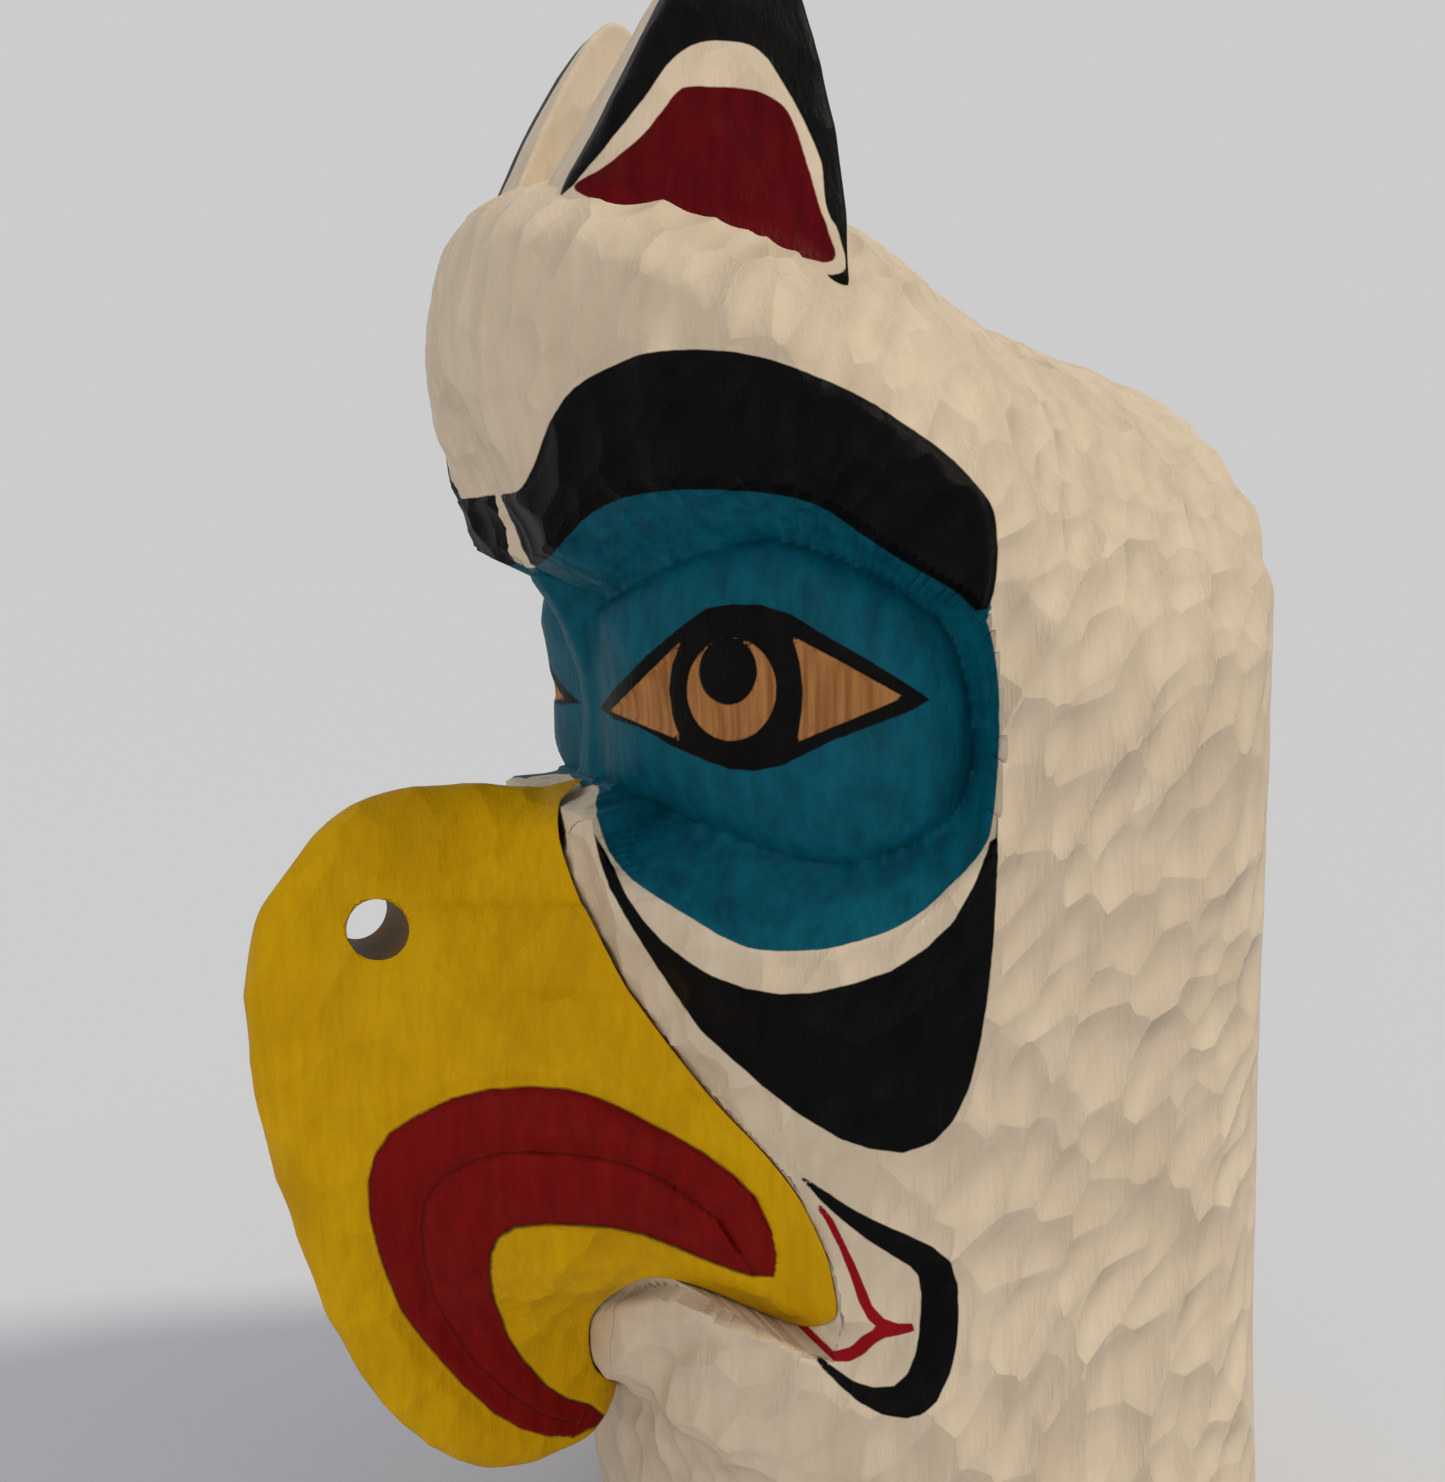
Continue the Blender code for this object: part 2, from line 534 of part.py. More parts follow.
def make_beak(material):
    """The hooked beak: both flanks over one side view, joined along ridge, mouth and seam."""
    ridge = rounded(RIDGE_LINE, closed=False, steps=3)
    mouth = rounded(MOUTH_LINE, closed=False, steps=2)
    seam = rounded(SEAM_LINE, closed=False, steps=2)
    outline = np.vstack([ridge, mouth[1:], seam[1:-1]])
    outline = outline[::-1] if signed_area(outline) < 0 else outline
    flat, triangles = side_view_grid(outline, len(ridge))
    on_ridge = line_distance(ridge, flat[:, 0], flat[:, 1], closed=False) < SAME_PLACE
    half = beak_half_width(flat[:, 0], flat[:, 1])
    mesh_data = bmesh.new()
    left, right = [], []
    for (y, z), x, ridge_point in zip(flat, half, on_ridge):
        x = 0.0 if ridge_point else x
        left.append(mesh_data.verts.new(to_metres((x, y, z))))
        right.append(left[-1] if ridge_point else mesh_data.verts.new(to_metres((-x, y, z))))
    border = {}
    for triangle in triangles:
        mesh_data.faces.new([left[k] for k in triangle])
        mesh_data.faces.new([right[k] for k in reversed(triangle)])
        for a, b in zip(triangle, triangle[1:] + triangle[:1]):
            border[(a, b)] = (b, a)
    for a, b in border:
        if (b, a) not in border and not (on_ridge[a] and on_ridge[b]):
            corners = [left[b], left[a], right[a], right[b]]
            mesh_data.faces.new(list(dict.fromkeys(corners)))
    bmesh.ops.recalc_face_normals(mesh_data, faces=mesh_data.faces)
    return new_object("beak", mesh_data, material)


def signed_area(loop):
    """Area of a loop, above 0 when it runs anticlockwise."""
    following = np.roll(loop, -1, axis=0)
    return 0.5 * float(np.sum(loop[:, 0] * following[:, 1] - following[:, 0] * loop[:, 1]))


def extruded_cutter(name, outline, half_width):
    """A hidden prism along X with the given (y, z) outline in design millimetres."""
    mesh_data = bmesh.new()
    near = [mesh_data.verts.new(to_metres((half_width, y, z))) for y, z in outline]
    far = [mesh_data.verts.new(to_metres((-half_width, y, z))) for y, z in outline]
    count = len(outline)
    for k in range(count):
        following = (k + 1) % count
        mesh_data.faces.new((near[k], far[k], far[following], near[following]))
    mesh_data.faces.new(near)
    mesh_data.faces.new(far[::-1])
    bmesh.ops.recalc_face_normals(mesh_data, faces=mesh_data.faces)
    mesh = bpy.data.meshes.new(name)
    mesh_data.to_mesh(mesh)
    mesh_data.free()
    return hidden_cutter(name, mesh)


def hidden_cutter(name, mesh):
    """An object that only cuts others."""
    cutter = bpy.data.objects.new(name, mesh)
    cutter.hide_render = True
    cutter.display_type = "WIRE"
    bpy.context.scene.collection.objects.link(cutter)
    return cutter


def boolean(target, other, operation):
    """Join or cut with an exact Boolean modifier."""
    modifier = target.modifiers.new(other.name, "BOOLEAN")
    modifier.operation = operation
    modifier.solver = "EXACT"
    modifier.object = other


def bake(target):
    """Turn a target's modifiers into its mesh."""
    evaluated = target.evaluated_get(bpy.context.evaluated_depsgraph_get())
    mesh = bpy.data.meshes.new_from_object(evaluated)
    target.modifiers.clear()
    target.data = mesh


def beak_bed():
    """Side view of what the beak takes out of the face: its seam and mouth, set back a gap."""
    gap = JOINT_GAP / METRES[1]
    mouth = rounded(MOUTH_LINE, closed=False, steps=2)
    seam = rounded(SEAM_LINE, closed=False, steps=2)
    edge = np.vstack([mouth, seam[1:]])
    run = np.gradient(edge, axis=0)
    outward = np.stack([run[:, 1], -run[:, 0]], axis=1)
    outward /= np.linalg.norm(outward, axis=1)[:, None]
    set_back = edge + outward * gap
    return np.vstack([set_back, BED_FRONT])


def nostril_cutter():
    """The auger that bores both nostrils in one hole across the beak."""
    mesh_data = bmesh.new()
    bmesh.ops.create_cone(mesh_data, cap_ends=True, segments=BORE_SIDES, radius1=NOSTRIL_BORE / 2,
                          radius2=NOSTRIL_BORE / 2, depth=LOG_WIDTH)
    mesh = bpy.data.meshes.new("nostril_auger")
    mesh_data.to_mesh(mesh)
    mesh_data.free()
    cutter = hidden_cutter("nostril_auger", mesh)
    cutter.rotation_euler = (0.0, math.pi / 2, 0.0)
    cutter.location = to_metres((0.0, NOSTRIL_Y, NOSTRIL_Z))
    return cutter


def make_head():
    """The log, its ears, and the bed that is cut into the face for the beak."""
    cream = painted_wood("cream_paint", (0.62, 0.53, 0.39), 0.55)
    head = make_log(cream)
    triangles = sum(len(face.vertices) - 2 for face in head.data.polygons)
    thin = head.modifiers.new("thin_out", "DECIMATE")
    thin.ratio = HEAD_TRIANGLES / triangles
    bake(head)
    for side in (1, -1):
        ear = make_ear(side, cream)
        boolean(head, ear, "UNION")
        bake(head)
        bpy.data.objects.remove(ear)
    boolean(head, extruded_cutter("beak_bed", beak_bed(), DRAWN_WIDTH), "DIFFERENCE")
    return head


def build():
    """Make the bust in an empty scene."""
    for old in list(bpy.data.objects):
        bpy.data.objects.remove(old)
    make_head()
    beak = make_beak(painted_wood("yellow_paint", (0.52, 0.33, 0.01), 0.45))
    boolean(beak, nostril_cutter(), "DIFFERENCE")


build()
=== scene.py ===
"""The eagle bust of a totem pole, dressed: adzed cedar, carved eyes and beak, painted forms."""
import math

import bpy
import numpy as np
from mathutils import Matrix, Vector
from mathutils.geometry import delaunay_2d_cdt


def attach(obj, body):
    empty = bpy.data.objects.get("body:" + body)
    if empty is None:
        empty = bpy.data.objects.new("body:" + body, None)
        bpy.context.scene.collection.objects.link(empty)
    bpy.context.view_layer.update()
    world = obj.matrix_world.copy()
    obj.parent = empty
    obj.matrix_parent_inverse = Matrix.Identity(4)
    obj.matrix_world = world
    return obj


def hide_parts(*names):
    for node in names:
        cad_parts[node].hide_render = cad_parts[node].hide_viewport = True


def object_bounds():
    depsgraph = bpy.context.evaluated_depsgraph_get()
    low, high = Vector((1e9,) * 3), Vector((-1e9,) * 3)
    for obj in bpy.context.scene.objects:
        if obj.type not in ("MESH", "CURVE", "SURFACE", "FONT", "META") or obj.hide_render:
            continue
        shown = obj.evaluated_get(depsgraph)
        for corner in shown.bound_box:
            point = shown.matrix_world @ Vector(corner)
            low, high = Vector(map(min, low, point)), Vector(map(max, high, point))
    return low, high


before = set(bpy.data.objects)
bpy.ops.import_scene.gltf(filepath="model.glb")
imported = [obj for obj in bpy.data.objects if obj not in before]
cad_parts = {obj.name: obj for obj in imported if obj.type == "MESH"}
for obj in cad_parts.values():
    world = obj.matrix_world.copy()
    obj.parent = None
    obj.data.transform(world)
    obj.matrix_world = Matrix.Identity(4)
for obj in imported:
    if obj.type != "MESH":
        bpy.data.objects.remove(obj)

cad_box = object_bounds()

# The carved log
# One length of red cedar carries crown, brows, eyes, cheeks, jaw and neck. The forms are cut
# with adze and knife below the round of the log, and then painted over with a brush.
DRAWN_HEIGHT = 975.0         # the drawing is in millimetres of a bust this high
DRAWN_DEPTH = 526.0
DRAWN_FOOT_WIDTH = 540.0
BACK_PLANE = 100.0
METRES = np.array([(cad_box[1][0] - cad_box[0][0]) / DRAWN_FOOT_WIDTH,
                   (cad_box[1][1] - cad_box[0][1]) / DRAWN_DEPTH,
                   (cad_box[1][2] - cad_box[0][2]) / DRAWN_HEIGHT])

# Horizontal sections of the log, as (height, size) pairs
FRONT_REACH = (
    (0, 192), (60, 204), (120, 205), (150, 213), (175, 230), (205, 233), (250, 226), (300, 219),
    (360, 224), (410, 241), (455, 254), (500, 262), (560, 263), (620, 270), (660, 281),
    (700, 298), (750, 310), (790, 309), (830, 297), (870, 270), (930, 240),
)
HALF_WIDTH = ((0, 270), (100, 262), (200, 253), (300, 250), (600, 250), (930, 250))
CROWN_TOP = ((-330, 836), (-290, 842), (-266, 850), (-228, 863), (-200, 867), (-150, 862), (-81, 834),
             (-59, 818), (-19, 796), (22, 782), (64, 770), (110, 755))
FRONT_SQUARENESS = 2.3
BACK_SQUARENESS = 3.0
BACK_SWELL = 140.0
CROWN_ARCH = 250.0
CROWN_SOFTNESS = 0.05
AXIS_Y = -60.0
AXIS_TOP = 560.0
WELL_OUTSIDE = 600.0         # no place of the log is this far from its axis

# The camera that the carved and painted lines were read with, in drawn millimetres and pixels
CAMERA_AZIMUTH = math.radians(68.0)
CAMERA_PITCH = math.radians(6.0)
CAMERA_TARGET = np.array([-50.0, -120.0, 530.0])
CAMERA_DISTANCE = 1120.0
CAMERA_FOCUS = 1760.0
PHOTO_SIZE = (1445.0, 1482.0)
PIXEL = 0.60                 # millimetres that one pixel covers on the near side

# Carved lines, as points of the photograph
BROW_LINE = (
    (502, 494), (521, 488), (535, 462), (550, 421), (573, 389), (604, 370), (642, 354), (680, 350),
    (726, 351), (772, 360), (818, 377), (864, 398), (906, 425), (944, 452), (975, 483), (992, 507),
    (997, 534), (996, 580), (983, 614), (956, 592), (917, 569), (879, 546), (849, 525), (822, 507),
    (787, 496), (745, 491), (695, 489), (650, 492), (615, 500), (588, 515), (573, 530), (537, 567),
    (480, 590), (460, 494),
)
SOCKET_LINE = (
    (400, 600), (470, 572), (537, 567), (573, 530), (615, 500), (695, 489), (787, 496), (822, 507),
    (879, 546), (956, 592), (984, 615), (997, 669), (999, 746), (992, 825), (981, 852), (958, 878),
    (924, 910), (891, 930), (858, 941), (818, 950), (759, 950), (725, 938), (699, 923), (639, 885),
    (616, 862), (606, 845), (595, 809), (599, 786), (580, 789), (557, 800), (552, 860), (400, 860),
)
EYEBALL_LINE = (
    (588, 622), (611, 599), (650, 576), (688, 557), (757, 540), (795, 544), (833, 557), (872, 574),
    (910, 599), (944, 626), (964, 673), (974, 746), (968, 785), (954, 812), (928, 835), (891, 853),
    (852, 862), (812, 862), (775, 852), (739, 839), (666, 810), (606, 789), (596, 700),
)
CHEEK_BEVEL_LINE = (
    (599, 780), (599, 837), (613, 865), (626, 895), (643, 920), (662, 941), (686, 960), (712, 976),
    (745, 988), (779, 994), (812, 993), (852, 984), (891, 971), (924, 950), (954, 921), (974, 885),
    (988, 849), (997, 792), (985, 700), (800, 650), (640, 700),
)
JAW_LINE = (
    (560, 1349), (590, 1310), (628, 1288), (682, 1286), (741, 1316), (825, 1350), (770, 1352),
    (708, 1339), (691, 1335), (653, 1344), (630, 1375), (600, 1400), (560, 1390),
)
THROAT_HOLLOW_LINE = (
    (708, 1340), (695, 1358), (678, 1411), (654, 1441), (630, 1426), (618, 1400), (640, 1352),
    (672, 1334),
)
SEAM_ON_PHOTO = (
    (600, 783), (568, 795), (557, 808), (556, 834), (572, 882), (602, 946), (630, 991), (678, 1060),
    (735, 1118), (788, 1171), (809, 1206), (822, 1259), (829, 1325), (826, 1352),
)
LIP_LINE = (
    (825, 1353), (774, 1337), (741, 1320), (708, 1302), (682, 1290), (655, 1286), (634, 1290),
)

# Where one carved form gives way to the next, in pixels across the photograph
BRIDGE_GIVES_WAY = (560, 650)
NOSE_GIVES_WAY = (588, 612)
SHALLOWS_GIVE_WAY = (590, 680)
TOWARD_TEMPLE = (640, 960)

# and down it
BRIDGE_FALLS = (560, 640)
UNDER_BROW = (600, 700)
TOWARD_CHEEK = (640, 800)
NOSE_BEGINS = (720, 780)
NOSE_ENDS = (785, 815)
JAW_EDGE = 16.0
HOLLOW_EDGE = 40.0

# How deep each form is cut or raised, in millimetres of the drawing
BROW_RAISE = 4.0
BROW_EDGE = 4.0
BRIDGE_DEPTH = ((510, 34), (540, 36), (575, 36), (600, 32), (625, 26), (645, 17), (660, 14))
BRIDGE_SPREAD = (6, 36)
BRIDGE_RISES = (500, 518)
BRIDGE_STOPS = (640, 660)
BRIDGE_TOP_CUT = 12.0
NOSE_CUT = 34.0              # the face falls back this far beside the root of the beak
BROW_OVERHANG = 0.45         # 0 slopes the socket evenly in under the brow, more cuts it steeper
CREASE_DEPTH_FRONT = 56.0    # the crease around the eyeball, beside the bridge
CREASE_DEPTH_SIDE = 32.0     # and at the temple
CREASE_SHALLOWS = 10.0       # the crease rises by this where it meets the bridge
CHEEK_BEVEL_DEPTH = 8.0
EYEBALL_RISE_FRONT = 26.0
EYEBALL_RISE_SIDE = 22.0
BROW_DIP = 17.0              # the hollow between the two brows
DIP_SPREAD = (5, 75)
DIP_BEGINS = (580, 640)
DIP_STOPS = (700, 780)
CARVING_FADES = (40, 80)     # no carving behind these places of Y
WEDGE_BEGINS = (560, 600)
PARTING_EDGE = (-1.5, 1.5)
PARTING_TOP = 692.0          # the bare wedge between the brows starts at this height
PARTING_DROP = 48.0          # and ends this far below it
PARTING_SLOPE = 0.42         # half-width that it gains per millimetre
EYEBALL_ROUND = 62.0         # from the crease to the crest of the eyeball
JAW_ROLL = 7.0               # the rim of the lower jaw stands out by this much
THROAT_HOLLOW_DEPTH = 8.0
LIP_ROUND = 9.0              # rounding of the lower lip along the mouth
EYE_INSET = 1.6              # the bare wood of the eye lies this far below its black border
INSET_EDGE = (-1, 4)         # pixels over which it goes down
SEAM_BEVEL = 1.2             # the knife-cut edge along the beak's joint
BEVEL_WIDTH = 7.0            # in pixels
MAP_STEP = 2.0               # pixels between the places where the depth is worked out
MAP_LOW = (380.0, 300.0)
MAP_HIGH = (1060.0, 1500.0)
CUT_STEP = 1.0               # each ray looks for the carved surface in steps of this depth
DEEPEST_CUT = 70.0

# Fineness of the log's mesh, as (start, end, count) runs: degrees round it, millimetres up it,
# and degrees up over the crown
ROUND_RUNS = ((0, 40, 34), (40, 92, 98), (92, 125, 30), (125, 180, 10))
HEIGHT_RUNS = ((0, 120, 20), (120, 350, 84), (350, 560, 62))
CROWN_RUNS = ((0.6, 46, 76), (46, 88.5, 32))

# Painted lines, as points of the photograph
EYE_BLACK_LINE = (
    (600, 708), (614, 689), (646, 656), (679, 628), (706, 608), (732, 604), (762, 605), (792, 615),
    (818, 631), (858, 654), (891, 674), (931, 699), (911, 711), (871, 726), (832, 741), (805, 754),
    (782, 766), (755, 771), (729, 769), (706, 761), (672, 746), (639, 727), (613, 719),
)
EYE_FRONT_WOOD = ((681, 641), (645, 676), (610, 711), (645, 726), (681, 741), (672, 715), (669, 689),
                  (672, 664))
EYE_BACK_WOOD = ((792, 636), (848, 666), (904, 697), (850, 720), (797, 742), (801, 717), (803, 693),
                 (800, 664))
IRIS_CENTRE, IRIS_RADII = (731.4, 689.5), (44.6, 51.3)
PUPIL_CENTRE, PUPIL_RADII = (728.0, 671.0), (29.0, 33.7)
CHEEK_BLACK_LINE = (
    (594, 833), (613, 865), (626, 895), (643, 920), (662, 941), (686, 960), (712, 976), (745, 988),
    (779, 994), (812, 993), (852, 984), (891, 971), (924, 950), (954, 921), (974, 885), (988, 849),
    (994, 822), (997, 792), (998, 858), (994, 937), (988, 996), (981, 1041), (970, 1086), (955, 1119),
    (933, 1143), (903, 1153), (870, 1149), (840, 1139), (794, 1111), (761, 1085), (700, 1030),
    (666, 981), (646, 950), (626, 918), (609, 887), (599, 858),
)
MOUTH_BLACK_LINE = (
    (800, 1176), (821, 1189), (846, 1206), (874, 1221), (908, 1236), (933, 1248), (950, 1262),
    (957, 1285), (958, 1318), (956, 1346), (949, 1374), (937, 1400), (922, 1414), (905, 1418),
    (883, 1414), (860, 1402), (841, 1386), (824, 1369), (814, 1356), (821, 1358), (835, 1369),
    (852, 1381), (871, 1388), (894, 1387), (908, 1374), (916, 1355), (920, 1330), (922, 1296),
    (919, 1276), (911, 1266), (891, 1254), (869, 1240), (843, 1220), (821, 1200),
)
MOUTH_RED_LINE = (
    (818, 1207), (827, 1220), (841, 1248), (852, 1276), (860, 1301), (869, 1318), (880, 1328),
    (863, 1337), (852, 1348), (838, 1352), (825, 1353), (835, 1360), (849, 1360), (863, 1353),
    (874, 1342), (885, 1336), (897, 1334), (913, 1330), (912, 1325), (897, 1325), (883, 1320),
    (871, 1307), (864, 1290), (855, 1268), (843, 1243), (832, 1221), (821, 1207),
)


def curve(pairs, at):
    """Smooth curve through (position, value) pairs, read at one or many positions."""
    keys = np.array([pair[0] for pair in pairs], float)
    values = np.array([pair[1] for pair in pairs], float)
    slopes = np.gradient(values, keys)
    at = np.clip(np.asarray(at, float), keys[0], keys[-1])
    i = np.clip(np.searchsorted(keys, at) - 1, 0, len(keys) - 2)
    span = keys[i + 1] - keys[i]
    t = (at - keys[i]) / span
    rise = (1 + 2 * t) * (1 - t) ** 2 * values[i] + t * t * (3 - 2 * t) * values[i + 1]
    return rise + span * (t * (1 - t) ** 2 * slopes[i] - t * t * (1 - t) * slopes[i + 1])


def ease(low, high, value):
    """0 below low, 1 above high, with a smooth step between."""
    t = np.clip((np.asarray(value, float) - low) / (high - low), 0.0, 1.0)
    return t * t * (3 - 2 * t)


def rounded(points, closed=True, steps=4):
    """Curve through the given points, with `steps` pieces between each two."""
    points = np.array(points, float)
    count = len(points)
    if closed:
        before, after, later = (np.roll(points, shift, axis=0) for shift in (1, -1, -2))
    else:
        before = np.vstack([points[:1], points[:-1]])
        after = np.vstack([points[1:], points[-1:]])
        later = np.vstack([points[2:], points[-1:], points[-1:]])
    line = []
    for k in range(count if closed else count - 1):
        for t in np.arange(steps) / steps:
            line.append(0.5 * (2 * points[k] + (after[k] - before[k]) * t
                               + (2 * before[k] - 5 * points[k] + 4 * after[k] - later[k]) * t ** 2
                               + (3 * points[k] - before[k] - 3 * after[k] + later[k]) * t ** 3))
    if not closed:
        line.append(points[-1])
    return np.array(line)


def line_distance(line, u, v, closed=True):
    """Distance from each (u, v) to a line."""
    starts = line if closed else line[:-1]
    ends = np.roll(line, -1, axis=0) if closed else line[1:]
    best = np.full(np.shape(u), 1e9)
    for a, b in zip(starts, ends):
        run = b - a
        length = max(float(run @ run), 1e-9)
        t = np.clip(((u - a[0]) * run[0] + (v - a[1]) * run[1]) / length, 0.0, 1.0)
        best = np.minimum(best, np.hypot(u - a[0] - t * run[0], v - a[1] - t * run[1]))
    return best


def inside_by(loop, u, v):
    """Distance inside a closed loop, negative outside it."""
    inside = np.zeros(np.shape(u), bool)
    for a, b in zip(loop, np.roll(loop, -1, axis=0)):
        if a[1] != b[1]:
            crossing = a[0] + (v - a[1]) * (b[0] - a[0]) / (b[1] - a[1])
            inside ^= ((a[1] > v) != (b[1] > v)) & (u < crossing)
    return np.where(inside, 1.0, -1.0) * line_distance(loop, u, v)


def camera_frame():
    """The camera's place and its right, up and backward directions."""
    back = np.array([math.sin(CAMERA_AZIMUTH) * math.cos(CAMERA_PITCH),
                     -math.cos(CAMERA_AZIMUTH) * math.cos(CAMERA_PITCH), math.sin(CAMERA_PITCH)])
    right = np.array([math.cos(CAMERA_AZIMUTH), math.sin(CAMERA_AZIMUTH), 0.0])
    return CAMERA_TARGET + CAMERA_DISTANCE * back, right, np.cross(back, right), back


def photo_point(points):
    """Where points of the figure's left half fall in the photograph."""
    eye, right, up, back = camera_frame()
    seen = points - eye
    depth = -(seen @ back)
    return (PHOTO_SIZE[0] / 2 + CAMERA_FOCUS * (seen @ right) / depth,
            PHOTO_SIZE[1] / 2 - CAMERA_FOCUS * (seen @ up) / depth)


def log_excess(x, y, z):
    """Below 0 inside the uncarved log, above 0 outside it."""
    reach = np.where(y < 0, curve(FRONT_REACH, z), BACK_SWELL)
    power = np.where(y < 0, FRONT_SQUARENESS, BACK_SQUARENESS)
    width = curve(HALF_WIDTH, z)
    across = np.abs(x) / width
    section = (across ** FRONT_SQUARENESS + (np.abs(y) / reach) ** power) ** (1 / power) - 1
    arch = CROWN_ARCH * (1 - np.sqrt(np.clip(1 - across ** 2, 0, 1)))
    crown = (z - curve(CROWN_TOP, y) + arch) / CROWN_ARCH
    blend = np.clip(CROWN_SOFTNESS - np.abs(section - crown), 0, None) / CROWN_SOFTNESS
    return np.maximum(section, crown) + blend ** 2 * CROWN_SOFTNESS / 4


def log_surface(origins, rays):
    """Where each ray from inside the log meets its uncarved surface."""
    near = np.zeros(len(rays))
    far = np.full(len(rays), WELL_OUTSIDE)
    for _ in range(32):
        middle = (near + far) / 2
        out = log_excess(*(origins + rays * middle[:, None]).T) > 0
        far = np.where(out, middle, far)
        near = np.where(out, near, middle)
    return origins + rays * near[:, None]


def oval(centre, radii, u, v):
    """Distance inside an upright oval, near enough for paint."""
    share = np.hypot((u - centre[0]) / radii[0], (v - centre[1]) / radii[1])
    return (1 - share) * min(radii)


def eye_wood(u, v):
    """Distance inside the bare wood of the eye: its two corners and the crescent of the iris."""
    iris = np.minimum(oval(IRIS_CENTRE, IRIS_RADII, u, v), -oval(PUPIL_CENTRE, PUPIL_RADII, u, v))
    corners = [inside_by(np.array(line, float), u, v) for line in (EYE_FRONT_WOOD, EYE_BACK_WOOD)]
    return np.maximum(np.maximum(*corners), iris)


def carving_depth(u, v):
    """How deep the face is carved below the log's surface at places of the photograph."""
    socket = inside_by(rounded(SOCKET_LINE), u, v)
    eyeball = inside_by(rounded(EYEBALL_LINE), u, v)
    bevel = inside_by(rounded(CHEEK_BEVEL_LINE), u, v)
    brow = inside_by(rounded(BROW_LINE), u, v)
    jaw = inside_by(rounded(JAW_LINE), u, v)
    hollow = inside_by(rounded(THROAT_HOLLOW_LINE), u, v)

    toward_bridge = 1 - ease(*BRIDGE_GIVES_WAY, u)
    toward_temple = ease(*TOWARD_TEMPLE, u)
    toward_cheek = ease(*TOWARD_CHEEK, v)
    bridge = BRIDGE_TOP_CUT + (NOSE_CUT - BRIDGE_TOP_CUT) * ease(*BRIDGE_FALLS, v)
    rim = CHEEK_BEVEL_DEPTH * toward_cheek * (1 - toward_bridge) + bridge * toward_bridge
    crease = CREASE_DEPTH_FRONT + (CREASE_DEPTH_SIDE - CREASE_DEPTH_FRONT) * toward_temple
    crease -= CREASE_SHALLOWS * (1 - ease(*SHALLOWS_GIVE_WAY, u))
    rise = EYEBALL_RISE_FRONT + (EYEBALL_RISE_SIDE - EYEBALL_RISE_FRONT) * toward_temple

    wall = np.clip(socket / (socket + np.abs(eyeball) + 1e-6), 0, 1)
    wall = wall ** (1 - BROW_OVERHANG * (1 - ease(*UNDER_BROW, v)))
    dome = np.clip(eyeball * PIXEL / EYEBALL_ROUND, 0, 1)
    depth = rim + (crease - rim) * wall
    depth = np.where(eyeball > 0, crease - rise * np.sqrt(1 - (1 - dome) ** 2), depth)
    shelf = CHEEK_BEVEL_DEPTH * np.clip(bevel / (bevel + np.abs(socket) + 1e-6), 0, 1)
    depth = np.where(socket > 0, depth, np.where(bevel > 0, shelf * toward_cheek, 0.0))
    nose = ease(*NOSE_BEGINS, v) * (1 - ease(*NOSE_ENDS, v)) * (1 - ease(*NOSE_GIVES_WAY, u))
    depth = np.maximum(depth, NOSE_CUT * nose)
    depth -= BROW_RAISE * ease(0, BROW_EDGE / PIXEL, brow)
    depth -= JAW_ROLL * ease(0, JAW_EDGE, jaw)
    depth += EYE_INSET * ease(*INSET_EDGE, eye_wood(u, v))
    seam = line_distance(rounded(SEAM_ON_PHOTO, closed=False), u, v, closed=False)
    depth += SEAM_BEVEL * (1 - ease(0, BEVEL_WIDTH, seam))
    lip = line_distance(rounded(LIP_LINE, closed=False), u, v, closed=False) * PIXEL
    turn = np.clip(lip / LIP_ROUND, 0, 1)
    depth += LIP_ROUND * (1 - np.sqrt(1 - (1 - turn) ** 2))
    return depth + THROAT_HOLLOW_DEPTH * ease(0, HOLLOW_EDGE, hollow)


def depth_map():
    """The carving's depth over the photograph, softened a little as a tool leaves it."""
    u = np.arange(MAP_LOW[0], MAP_HIGH[0], MAP_STEP)
    v = np.arange(MAP_LOW[1], MAP_HIGH[1], MAP_STEP)
    cut = np.pad(carving_depth(*np.meshgrid(u, v)), 1, mode="edge")
    beside = cut[:-2, 1:-1] + cut[2:, 1:-1] + cut[1:-1, :-2] + cut[1:-1, 2:]
    return (beside + 4 * cut[1:-1, 1:-1]) / 8


def read_map(depths, u, v):
    """Depths between the places of the map."""
    column = np.clip((u - MAP_LOW[0]) / MAP_STEP, 0, depths.shape[1] - 1.001)
    row = np.clip((v - MAP_LOW[1]) / MAP_STEP, 0, depths.shape[0] - 1.001)
    i, j = row.astype(int), column.astype(int)
    s, t = row - i, column - j
    upper = depths[i, j] * (1 - t) + depths[i, j + 1] * t
    lower = depths[i + 1, j] * (1 - t) + depths[i + 1, j + 1] * t
    return upper * (1 - s) + lower * s


def parting(z):
    """Half-width of the bare wedge between the two brows."""
    return PARTING_SLOPE * np.clip(PARTING_TOP - z, 0, PARTING_DROP)


